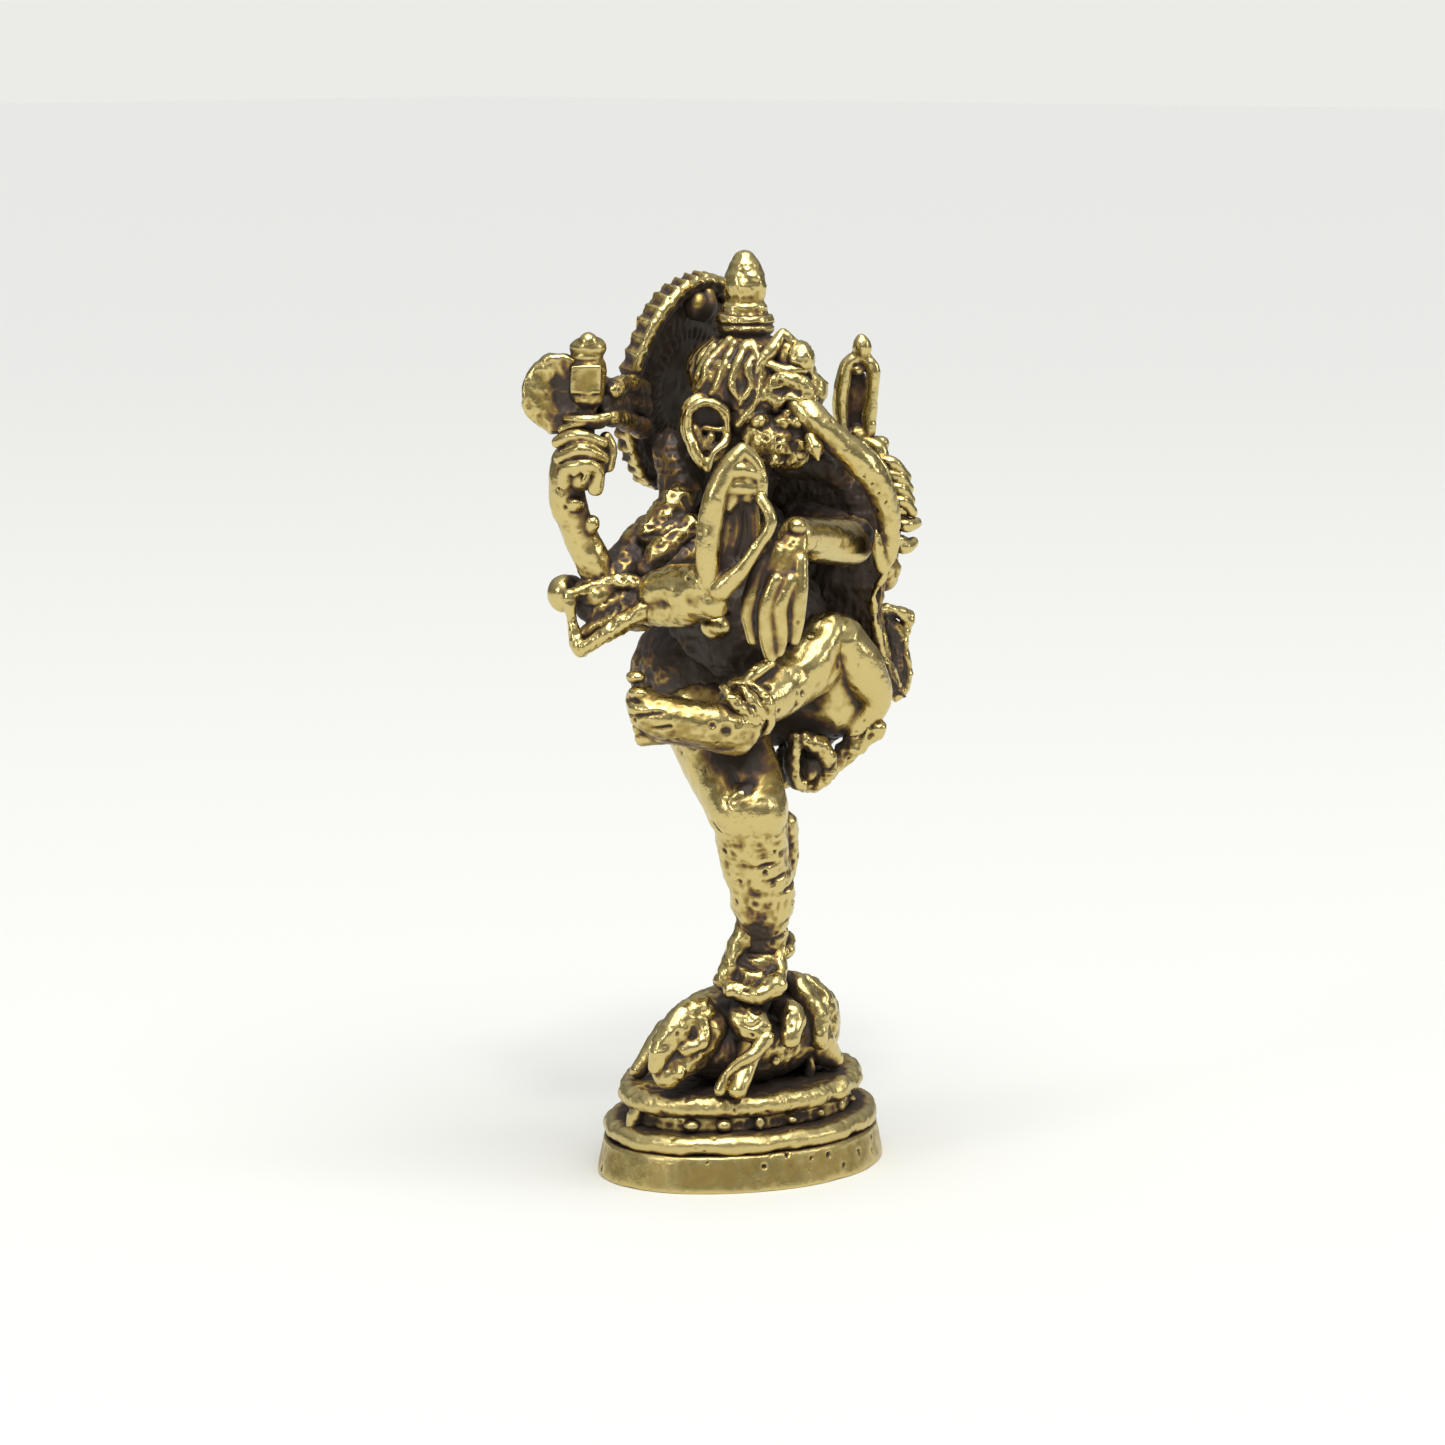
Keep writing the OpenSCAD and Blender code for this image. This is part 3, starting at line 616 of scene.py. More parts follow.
class ModelScarf(bpy.types.Operator):
    """Model the scarf: the sheet at the left flank and the flared ends"""
    bl_idname = "casting.scarf"
    bl_label = "Scarf"

    def execute(self, context):
        sheet = Wax("left_scarf")
        sheet.strand(sheet.run((-1.2, -4.9, 4.5, 0.16), (-0.9, -4.8, 2.9, 0.16),
                               (-0.9, -4.1, 0.9, 0.17), (-0.7, -3.1, -0.5, 0.17),
                               (0.1, -2.5, -2, 0.17), (1.1, -2.2, -3.8, 0.17),
                               (2.6, -2.2, -5.7, 0.2)))
        sheet.strand(sheet.run((-4, 1.2, 6.8, 1), (-3.2, 0.2, 6.6, 1), (-2.3, -0.7, 6.4, 0.9),
                               (-1.5, -1.6, 5.7, 0.8)))
        sheet.stain_and_shade(sheet.run((-1.2, -4.9, 4.5), (-0.9, -4.8, 2.9), (-0.9, -4.1, 0.9),
                              (-0.7, -3.1, -0.5), (0.1, -2.5, -2), (1.1, -2.2, -3.8),
                              (2.6, -2.2, -5.7)), 0.42, -0.8)
        sheet.mark(sheet.run((-4.5, -3.4, 0.9), (-4.4, -3.1, -0.2), (-3.8, -3.3, -1.4)), 0.16,
                   -0.12)
        cast(sheet, smooth=2, wave=2.2, pit=1.0, bias=-0.72, voxel=FINE_WAX)
        right = Wax("right_scarf_flare", bare=True)
        right.strand(right.run((-1.8, 1.8, 0.3, 0.24), (-1.8, 1.6, -1, 0.26),
                               (-1.7, 1.1, -2.5, 0.34)), steps=4)
        right.strand(right.run((-1.7, 1.1, -2.5, 0.36), (-1, 0, -1.7, 0.42),
                               (-0.1, -0.9, -0.8, 0.45), (0.8, -1.6, -0.2, 0.5)), steps=4)
        right.strand(right.run((-1.8, 1.8, 0.3, 0.24), (-0.9, 1.4, 0.5, 0.26),
                               (-0.1, 0.9, 0.9, 0.3), (0.7, -0.2, 0.9, 0.36), (1, -1, 0.4, 0.45)),
                     steps=4)
        floor = right.run((-0.8, 2, -0.3, 0.45), (-0.4, 1.3, -0.8, 0.6), (0.3, 0.4, -0.3, 0.62),
                          (1.1, -0.6, 0, 0.6))
        right.strand(floor, flat=0.9)
        right.strand(right.run((-1, 1.5, -1.8, 0.42), (-0.4, 0.8, -1.3, 0.5),
                               (0.4, -0.4, -0.5, 0.5)))
        for k in range(5):
            right.mark(right.run((-1.36 + 0.36 * k, 1.19 - 0.4 * k, 0.05),
                                 (-1.19 + 0.36 * k, 1.01 - 0.4 * k, -0.85 + 0.13 * k)), 0.1, 0.22)
        right.stain_and_shade(floor, 0.75, 0.6)
        for k in range(4):
            right.mark(right.run((-0.67 + 0.43 * k, 0.88 - 0.47 * k, 1.04)), 0.14, 0.14)
        cast(right, smooth=2, wave=2.0, pit=0.9, bias=-0.05, voxel=FINEST_WAX)
        left = Wax("left_scarf_flare", bare=True)
        left.strand(left.run((-0.4, 0.1, 1.7, 0.3), (0.5, -0.1, 1.7, 0.3), (1.6, -0.3, 1.3, 0.28)),
                    steps=4)
        left.strand(left.run((1.6, -0.3, 1.3, 0.28), (1.5, -0.2, 0.5, 0.24),
                             (1.3, -0.2, -0.3, 0.28), (1.5, -0.4, -1.3, 0.26),
                             (1.3, -0.3, -2.4, 0.3), (0.7, -0.2, -2.8, 0.3)), steps=4)
        left.strand(left.run((0.1, 0.4, 1.3, 0.5), (0.9, 0.4, 0.3, 0.7), (0.9, 0.4, -1, 0.7),
                             (1, 0.1, -2.2, 0.45)))
        left.strand(left.run((-0.6, 0, 1.3, 0.4), (-0.7, -0.2, 0, 0.5), (-0.2, -0.4, -1.4, 0.4)))
        left.stain_and_shade(left.run((0, 0, 0.8), (0.3, -0.1, -0.7), (0.4, -0.2, -2)), 1.1, 0.6)
        for k in range(6):
            left.mark(left.run((-0.18, -0.16, 1.27 - 0.6 * k), (0.59, -0.73, 1.11 - 0.56 * k)), 0.1,
                      0.25)
        cast(left, smooth=2, wave=2.2, pit=1.0, bias=-0.1, voxel=FINEST_WAX)
        curl = Wax("right_scarf_curl")
        curl.egg(curl.at(-0.7, 0.4, 0.2), (0.85, 0.85, 1.0))
        curl.mark(curl.run((-1, -0.4, 1), (-0.8, -0.6, 0.2)), 0.2, 0.3)
        cast(curl, wave=0.8, pit=0.4, bias=0.08, voxel=FINE_WAX)
        return {"FINISHED"}


# ---- Arms and hands ---------------------------------------------------------------------------


class ModelArms(bpy.types.Operator):
    """Model the four upper arms and forearms, with the bangles"""
    bl_idname = "casting.arms"
    bl_label = "Arms"

    def execute(self, context):
        for name in ("right_front_upper_arm", "left_front_upper_arm", "left_rear_upper_arm",
                     "right_rear_upper_arm"):
            arm = Wax(name)
            cast(arm, wave=2.2, pit=1.0, bias=-0.38)
        arm = Wax("right_rear_forearm", bare=True)
        arm.strand(arm.run((-0.6, 0.8, 3.9, 0.8), (-0.9, 0.8, 3.2, 0.88), (-0.8, 0.8, 1.6, 0.95),
                           (-0.4, 0.5, 0.1, 0.88), (0.3, 0.1, -1.6, 0.88), (0.9, 0, -2.8, 0.9)))
        arm.egg(arm.at(-1.2, -0.1, 1.5), (0.45, 0.45, 0.36))
        arm.egg(arm.at(-0.5, -0.6, 0.4), (0.4, 0.4, 0.5))
        for k in range(4):
            arm.mark(arm.run((-1.6, 0.11, -0.32 - 0.41 * k), (-1.07, -0.78, -0.43 - 0.41 * k),
                             (-0.04, -1.03, -0.3 - 0.41 * k)), 0.07, 0.08)
        arm.mark(arm.run((-1.7, -0.2, 1.1), (-1.4, -0.7, 0.9), (-0.8, -1.1, 1.2)), 0.12, 0.2)
        cast(arm, wave=1.5, pit=1.1, bias=-0.14)
        arm = Wax("left_rear_forearm")
        cast(arm, wave=1.4, pit=0.7, bias=-0.1)
        arm = Wax("right_front_forearm")
        arm.strand(arm.run((0, 1.7, 0.6, 1.2), (0, 0.3, 0.8, 1.25), (0, -1.3, 1.1, 1.1)))
        for k in range(5):
            arm.mark(arm.run((-1.08 + 0.08 * k, -1.55 - 0.08 * k, 2.07),
                             (-1.33 + 0.08 * k, -2.03 - 0.08 * k, 1.36),
                             (-0.9 + 0.06 * k, -2.06 - 0.07 * k, 0.57)), 0.07, 0.08)
        cast(arm, wave=1.5, pit=1.4, bias=-0.05)
        arm = Wax("left_front_forearm")
        arm.strand(arm.run((3.4, 0.6, -0.5, 1.15), (1.8, 0.4, -0.4, 1.1), (-0.8, -0.1, -0.1, 0.95)))
        arm.mark(arm.run((-1.7, -1.1, 1), (-1.7, -1.4, 0.1), (-1.5, -1.1, -0.8)), 0.08, 0.1)
        cast(arm, wave=0.7, pit=0.7, bias=0.42)
        bands = Wax("left_rear_bangles")
        bands.strand(bands.run((0, -0.8, 0.2, 0.3), (0.3, -1.4, 0, 0.34), (1.1, -1.4, 0.1, 0.3)))
        bands.strand(bands.run((0, -0.8, -0.9, 0.3), (0.2, -1.3, -1.2, 0.34), (1, -1.3, -1, 0.3)))
        cast(bands, smooth=3, wave=1.2, pit=0.4, bias=0.05, voxel=FINE_WAX)
        return {"FINISHED"}


class ModelHands(bpy.types.Operator):
    """Model the raised palm, the hanging hand and the two fists"""
    bl_idname = "casting.hands"
    bl_label = "Hands"

    def execute(self, context):
        palm = Wax("blessing_hand", bare=True)
        palm.strand(palm.run((-0.2, 1, -3.3, 0.62), (-0.6, 0.9, -1.6, 0.66), (-0.6, 0.8, 0.2, 0.64),
                             (-0.4, 0.5, 1.9, 0.62), (0.1, 0.1, 3.2, 0.5), (0.6, -0.3, 4, 0.36)))
        palm.strand(palm.run((0.6, -0.3, 4, 0.36), (1.1, -0.7, 3.3, 0.36), (1.3, -0.9, 2.5, 0.34),
                             (1.3, -0.9, 1.6, 0.34)))
        palm.strand(palm.run((1.1, -1.1, 1.5, 0.34), (1.2, -1.6, 0.7, 0.34), (1.1, -1.6, 0, 0.34),
                             (0.6, -1.2, -0.9, 0.38), (0.1, -0.6, -2, 0.5),
                             (-0.3, 0.4, -3.1, 0.62)))
        palm.strand(palm.run((0.1, 1.1, -2.9, 0.9), (0.4, 0.9, -1.7, 0.85), (0.8, 0.7, 0.1, 0.85),
                             (0.9, 0.5, 1.6, 0.75), (1, 0, 3.1, 0.5)), flat=0.8)
        palm.strand(palm.run((0.4, 0.1, 3, 0.5), (0.3, 0.2, 2.1, 0.55), (0.3, 0.2, 1.2, 0.5)))
        palm.strand(palm.run((0.8, -0.3, 3.2, 0.45), (0.8, -0.3, 2.3, 0.5), (0.9, -0.3, 1.4, 0.42)))
        palm.strand(palm.run((1.1, 0.2, 1.3, 0.8), (1.2, 0.1, -0.1, 0.85), (0.9, 0.4, -1.7, 0.85)))
        palm.strand(palm.run((-0.2, 0.8, 1.7, 0.5), (0.4, -0.1, 2.1, 0.5), (1.4, -0.7, 1.9, 0.42)))
        palm.strand(palm.run((-0.1, 0.5, 2.7, 0.45), (0.4, -0.3, 3, 0.45), (1.2, -0.7, 2.7, 0.4)))
        palm.strand(palm.run((0.2, 0.2, 2.2, 0.42), (0.6, -0.3, 2.9, 0.42), (0.9, -0.3, 2.2, 0.4)))
        palm.strand(palm.run((-0.2, 1.7, -3.4, 0.85), (-0.2, 1.2, -2.6, 0.9)))
        palm.mark(palm.run((0.3, -0.8, 3.9), (0.2, -0.9, 3.2), (0.2, -0.9, 2.4)), 0.06, 0.14)
        palm.mark(palm.run((0.5, -0.5, 0.7), (0.6, -0.4, -0.2), (0.3, -0.3, -1.3)), 0.5, 0.45)
        palm.stain_and_shade(palm.run((0.7, -0.4, 0.8), (0.9, -0.3, -0.2), (0.5, -0.2, -1.6)), 0.55, 0.7)
        palm.stain_and_shade(palm.run((-1.3, 0.5, -1.5), (-1.4, 0.4, 0.3), (-1.1, 0.1, 2.2),
                            (-0.5, -0.3, 3.5)), 0.4, -0.3)
        for k in range(4):
            palm.mark(palm.run((-1.02 - 0.03 * k, 0.02 + 0.04 * k, 2.88 - 0.33 * k),
                               (-0.56, -0.5, 2.76 - 0.3 * k), (-0.04, -0.78, 2.86 - 0.28 * k)),
                      0.05, 0.12)
        for k in range(3):
            palm.mark(palm.run((0.33, -1.04, 2.89 - 0.28 * k), (0.87, -1.49, 2.84 - 0.28 * k)),
                      0.05, 0.12)
        palm.mark(palm.run((-1.1, 0.1, 1.8), (-0.7, -0.1, 1.4), (-1.1, 0.1, 0.6)), 0.08, 0.12)
        cast(palm, smooth=2, wave=0.8, pit=0.5, bias=0.05, voxel=FINEST_WAX)
        hang = Wax("hanging_hand", bare=True)
        hang.strand(hang.run((0.9, -0.3, 2.8, 0.5), (0.4, -0.4, 2, 0.8), (-0.1, -0.1, 0.6, 1.2),
                             (-0.3, 0.1, -0.7, 1.25), (-0.4, 0.3, -1.6, 1.15)), flat=0.62,
                    across=(0.67, -0.74, 0))
        hang.strand(hang.run((-0.1, 0, 1.8, 0.6), (-0.6, 0.4, 0.6, 0.6), (-0.9, 0.5, -0.7, 0.5)))
        hang.strand(hang.run((-0.3, 0.2, 1.6, 0.45), (-0.9, 0.6, 0.9, 0.46), (-1.3, 0.7, 0, 0.46),
                             (-1.5, 0.9, -1.2, 0.44), (-1.2, 0.9, -2.7, 0.3)))
        hang.strand(hang.run((-0.8, -0.3, 0.4, 0.45), (-1.1, 0, -0.9, 0.46), (-1, 0.1, -2.3, 0.45),
                             (-0.7, 0.1, -3.5, 0.34)))
        hang.strand(hang.run((-0.2, -0.8, 0.4, 0.45), (-0.7, -0.5, -0.9, 0.46),
                             (-0.5, -0.4, -2.3, 0.42), (-0.4, -0.2, -3.3, 0.28)))
        hang.strand(hang.run((0.4, -0.9, 1.4, 0.42), (0.1, -1.1, -0.4, 0.44),
                             (0.1, -0.9, -1.7, 0.42), (0.2, -0.7, -2.7, 0.3)))
        hang.egg(hang.at(0.6, -0.5, 3), (0.5, 0.5, 0.45))
        hang.mark(hang.run((-2, -0.1, -0.1), (-1.9, 0, -1.3), (-1.5, 0.1, -2.6)), 0.06, 0.16)
        hang.mark(hang.run((-0.9, -1.2, -1), (-0.8, -1.2, -1.8), (-0.6, -1, -2.6)), 0.06, 0.16)
        hang.mark(hang.run((-2.2, 0.2, -0.3), (-2, 0.4, -2.2)), 0.05, 0.08)
        hang.mark(hang.run((-1.7, -0.5, -0.9), (-1.7, -0.6, -1.4)), 0.05, 0.1)
        hang.mark(hang.run((-1.2, -1.3, 0.1)), 0.1, 0.12)
        cast(hang, smooth=2, wave=0.5, pit=0.4, bias=-0.26, voxel=FINEST_WAX)
        fist = Wax("right_rear_fist")
        fist.strand(fist.run((-1.4, 0.6, 1, 0.3), (-1.1, -0.6, 1.4, 0.36), (0.1, -1.2, 1, 0.3)),
                    steps=4)
        fist.strand(fist.run((-1.5, 0.3, 0.2, 0.34), (-1.2, -0.9, 0.7, 0.42), (0, -1.3, 0.2, 0.34)),
                    steps=4)
        fist.strand(fist.run((-1.4, 0.1, -1, 0.4), (-1.6, -0.3, -0.3, 0.38), (-1.3, -1.1, 0, 0.4),
                             (-0.5, -1.4, -0.4, 0.38), (-0.4, -1.1, -1.3, 0.4)), steps=4)
        fist.egg(fist.at(-0.7, -0.3, -0.7), (0.7, 0.7, 0.7))
        fist.strand(fist.run((-1.6, -0.8, -0.5, 0.14), (-1.5, -1.1, -0.2, 0.15),
                             (-1.2, -1.3, -0.5, 0.15), (-1.4, -1.2, -0.9, 0.15)))
        fist.mark(fist.run((-1.6, -1.1, -0.7)), 0.1, 0.2)
        for k in range(2):
            fist.mark(fist.run((-1.68, 0.05, 0.64 - 0.7 * k), (-1.51, -1.19, 1.07 - 0.72 * k),
                               (-0.24, -1.55, 0.64 - 0.7 * k)), 0.08, 0.28)
        fist.strand(fist.run((0.7, -0.8, 1.2, 0.3), (0.9, -1, 0.6, 0.34), (0.8, -0.9, -0.3, 0.3)))
        cast(fist, smooth=2, wave=1.0, pit=0.5, bias=-0.02, voxel=FINEST_WAX)
        fist = Wax("left_rear_fist")
        fist.strand(fist.run((-0.2, -0.1, 1.5, 0.35), (0, -0.7, 1.2, 0.4), (0.2, -0.9, 0.6, 0.35)))
        for k in range(4):
            fist.strand(fist.run((-0.33 + 0.13 * k, -1.14 - 0.14 * k, 0.54 - 0.7 * k, 0.3),
                                 (0.09 + 0.11 * k, -1.76 - 0.12 * k, 0.42 - 0.67 * k, 0.34),
                                 (0.92 + 0.07 * k, -1.93 - 0.08 * k, -0.36 - 0.62 * k, 0.3)),
                        steps=4)
        cast(fist, smooth=2, wave=0.9, pit=0.4, bias=0.0, voxel=FINE_WAX)
        return {"FINISHED"}


# ---- What the rear hands hold -----------------------------------------------------------------


class ModelHeldThings(bpy.types.Operator):
    """Model the axe and the noose"""
    bl_idname = "casting.held"
    bl_label = "Axe and noose"

    def execute(self, context):
        shaft = Wax("axe_shaft")
        shaft.egg(shaft.at(0.1, 0, 3.5), (0.95, 0.95, 0.62))
        shaft.egg(shaft.at(-0.2, -0.3, 3.8), (0.5, 0.5, 0.5))
        shaft.rod(shaft.at(0, 0, 1.2), shaft.at(0.1, 0, 2.4), 0.92, 0.98)
        shaft.strand(shaft.run((-1.3, 0.5, -0.6, 0.17), (-0.9, -0.6, -0.2, 0.19),
                               (0.3, -1.3, 0.1, 0.17)), steps=4)
        shaft.mark(shaft.run((-1.3, -0.1, 3), (-0.7, -1.1, 3), (0.2, -1.5, 2.8)), 0.1, 0.22)
        shaft.mark(shaft.run((-1, -0.5, 4.1), (-1.1, -0.6, 3.3)), 0.06, 0.12)
        cast(shaft, smooth=2, wave=0.8, pit=0.6, bias=-0.28, voxel=FINEST_WAX)
        blade = Wax("axe_blade")
        rim = blade.run((-0.1, 0.2, 1.7, 0.28), (-0.6, 0.7, 1.2, 0.34), (-0.9, 1, 0.2, 0.36),
                        (-0.7, 0.8, -0.9, 0.34), (-0.3, 0.4, -1.8, 0.28))
        blade.strand(rim)
        blade.stain_and_shade(rim, 0.5, -0.45)
        blade.mark(blade.run((-0.7, -0.6, 0.5), (-0.5, -0.7, -0.5)), 0.5, 0.3)
        for k in range(4):
            blade.mark(blade.run((-0.59 + 0.25 * k, -0.33 - 0.28 * k, 1.14),
                                 (-0.6 + 0.25 * k, -0.33 - 0.28 * k, -0.76)), 0.08, 0.15)
        cast(blade, smooth=3, wave=1.9, pit=1.1, bias=-0.3)
        noose = Wax("noose", bare=True)
        noose.strand(noose.run((-0.7, 0.3, -2.4, 0.38), (-0.8, 0.5, -0.9, 0.38),
                               (-0.8, 0.4, 0.5, 0.4), (-0.6, 0.2, 1.5, 0.38),
                               (-0.1, -0.3, 1.9, 0.42), (0.3, -0.8, 1.3, 0.4),
                               (0.3, -0.8, 0.2, 0.36), (0.2, -0.7, -1.1, 0.4),
                               (0.1, -0.6, -2.4, 0.4)))
        noose.strand(noose.run((-0.1, -0.4, 2.1, 0.4), (-0.1, -0.4, 2.5, 0.56),
                               (-0.1, -0.4, 2.9, 0.34)))
        noose.egg(noose.at(-0.2, -0.2, 1.3), (0.35, 0.35, 0.3))
        noose.rod(noose.at(0.3, 0.2, 0.8), noose.at(0.3, 0.3, -2.4), 0.55, 0.55, 0.4,
                  (0.67, -0.74, 0))
        noose.strand(noose.run((-0.1, -0.2, -2.2, 0.6), (0, -0.4, -3.3, 0.7),
                               (-0.1, -0.7, -4.3, 0.6)))
        cast(noose, smooth=2, wave=1.1, pit=0.5, bias=-0.14, voxel=FINEST_WAX)
        return {"FINISHED"}


# ---- Head -------------------------------------------------------------------------------------


class ModelHead(bpy.types.Operator):
    """Model the elephant head, its trunk, tusks and ears"""
    bl_idname = "casting.head"
    bl_label = "Head"

    def execute(self, context):
        head = Wax("head")
        head.strand(head.run((-1.9, -2.1, 0.1, 0.34), (-1.9, -2.4, 1.2, 0.46),
                             (-1.4, -3.1, 1.7, 0.54), (-0.9, -3.8, 1.3, 0.54),
                             (-0.6, -4.1, 0.4, 0.48)))
        head.strand(head.run((-1.7, -2.7, 0.2, 0.16), (-1.6, -3.3, 0.9, 0.2),
                             (-1.2, -3.9, 0.6, 0.2), (-1.1, -4.1, 0.1, 0.16)))
        head.egg(head.at(-1.3, -3.2, 0), (0.34, 0.34, 0.26))
        head.mark(head.run((-2, -3.5, 0.3), (-1.7, -4, 0.4), (-1.4, -4.2, 0.1)), 0.14, 0.3)
        head.egg(head.at(-0.5, -3.2, 2.7), (0.8, 0.8, 0.9))
        for place in ((-1.8, -1.6, -1.3), (-1.3, -2.1, -0.9), (-0.8, -2.7, -1.4),
                      (-0.4, -3.2, -0.9), (-1.4, -2, -2), (-0.7, -2.9, -2.1)):
            head.egg(head.at(*place), (0.9, 0.9, 0.75))
        for place in ((-0.4, -3.3, -1.1), (-1.8, -1.8, 1), (-2.1, -1.4, 0.1), (-0.2, -3.5, -0.2)):
            head.egg(head.at(*place), (0.85, 0.85, 0.8))
        for place in ((-2.4, -2.3, -0.4), (-1.7, -3, -0.5), (-1.1, -3.6, -0.4), (-2.2, -2.4, -1.5),
                      (-1.6, -3.1, -1.8), (-1, -3.8, -1.6), (-1.9, -2.8, -2.5)):
            head.egg(head.at(*place), (0.45, 0.45, 0.4))
        head.mark(head.run((-2.5, -2.9, -0.4), (-2, -3.6, -0.7), (-1.5, -4.2, -0.6)), 0.12, 0.25)
        head.mark(head.run((-2, -3.6, -1.2), (-1.8, -3.6, -2.1), (-1.8, -3, -2.7)), 0.16, 0.3)
        for place in ((-2.5, -2.7, -1.3), (-2.1, -3.2, -1.7), (-1.5, -3.8, -1.5),
                      (-1.1, -4.3, -0.8), (-2.7, -2.5, -0.8)):
            head.mark(head.run(place), 0.12, 0.16)
        cast(head, smooth=2, wave=2.3, pit=1.1, bias=-0.16, voxel=FINE_WAX)
        trunk = Wax("trunk", bare=True)
        trunk.strand(trunk.run((-1.9, 1.2, 3.7, 0.7), (-1.7, 0.4, 3, 0.78), (-0.9, -0.4, 1.9, 0.74),
                               (0.1, -1.1, 0.8, 0.82), (1.1, -1.5, -0.4, 0.76),
                               (1.9, -1.5, -1.8, 0.66), (2.3, -1.4, -3.4, 0.55),
                               (2.2, -1.2, -4.6, 0.5)))
        trunk.strand(trunk.run((1, -0.8, 1.5, 0.2), (1.9, -1.3, 0.3, 0.18), (2.5, -1.6, -1.2, 0.16),
                               (2.9, -1.5, -2.5, 0.16), (2.9, -1.1, -4, 0.16)))
        trunk.strand(trunk.run((2, -1.3, -4.9, 0.4), (1.6, -1.3, -4.2, 0.36),
                               (1.4, -1.4, -3.4, 0.26), (1.3, -1.4, -2.9, 0.1)))
        for k in range(9):
            trunk.mark(trunk.run((-2.21 + 0.46 * k, -0.84 - 0.09 * k, 1.09 - 0.49 * k),
                                 (-2.18 + 0.46 * k, -1.31 - 0.09 * k, 1.55 - 0.49 * k),
                                 (-1.92 + 0.46 * k, -1.46 - 0.09 * k, 2.01 - 0.49 * k)), 0.06, 0.09)
        trunk.stain_and_shade(trunk.run((-1.3, -0.3, 1.1), (-0.5, -0.8, -0.1), (0.6, -1, -1.5),
                              (1.5, -0.8, -3.1)), 0.7, 0.5)
        for k in range(6):
            trunk.mark(trunk.run((-1.17 + 0.59 * k, -0.79 - 0.14 * k, 0.32 - 0.55 * k)), 0.16, 0.22)
        cast(trunk, smooth=3, wave=1.3, pit=0.9, bias=-0.06, voxel=FINE_WAX)
        tusks = Wax("tusks")
        tusks.egg(tusks.at(-1.8, -1.6, 0.4), (0.5, 0.5, 0.48))
        tusks.strand(tusks.run((-1.9, -1.4, 0.9, 0.32), (-1.9, -1.7, 0.3, 0.34),
                               (-1.8, -1.8, -0.2, 0.14)))
        cast(tusks, smooth=2, wave=0.8, pit=0.3, bias=0.02, voxel=FINEST_WAX)
        ear = Wax("right_ear")
        ear.strand(ear.run((0.4, -1.2, 0, 0.2), (0.3, -1.2, 0.7, 0.24), (-0.2, -0.9, 1.3, 0.22),
                           (-0.8, -0.4, 1.4, 0.23), (-1.2, 0, 0.9, 0.23), (-1.2, 0.1, 0, 0.23),
                           (-1.2, -0.3, -0.8, 0.3), (-0.9, -0.7, -1.7, 0.3)))
        ear.strand(ear.run((0.5, -1.1, 0.1, 0.2), (0.2, -1.2, -0.6, 0.26), (-0.5, -1, -1.2, 0.23),
                           (-0.8, -0.9, -1.9, 0.25)))
        ear.strand(ear.run((-0.4, -0.3, 0.1, 0.12), (0, -0.7, 0, 0.14), (0.3, -1.1, 0.1, 0.12)))
        ear.mark(ear.run((-0.8, -0.6, 0.7), (-0.5, -0.9, 0.6)), 0.42, 0.2)
        ear.strand(ear.run((-0.7, 0.1, 0, 0.3), (-0.5, -0.4, -0.9, 0.34), (-0.2, -0.6, -0.4, 0.3)))
        ear.stain_and_shade(ear.run((-0.6, -0.5, 0.8), (-0.4, -0.7, 0)), 0.45, 0.35)
        cast(ear, smooth=3, wave=1.5, pit=0.8, bias=-0.08, voxel=FINEST_WAX)
        ear = Wax("left_ear")
        low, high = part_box("left_ear")
        centre, half = (low + high) / 2 / MM, (high - low) / 2 / MM
        for k in range(14):
            a, b = (math.tau * (k + j) / 14 for j in (0, 1))
            ear.rod(*(centre + Vector((half.x * 0.7 * math.cos(t), -half.y * 0.5,
                                       half.z * 0.85 * math.sin(t))) for t in (a, b)), 0.26, 0.26)
        cast(ear, smooth=2, wave=0.8, pit=0.4, bias=0.0, voxel=FINE_WAX)
        return {"FINISHED"}


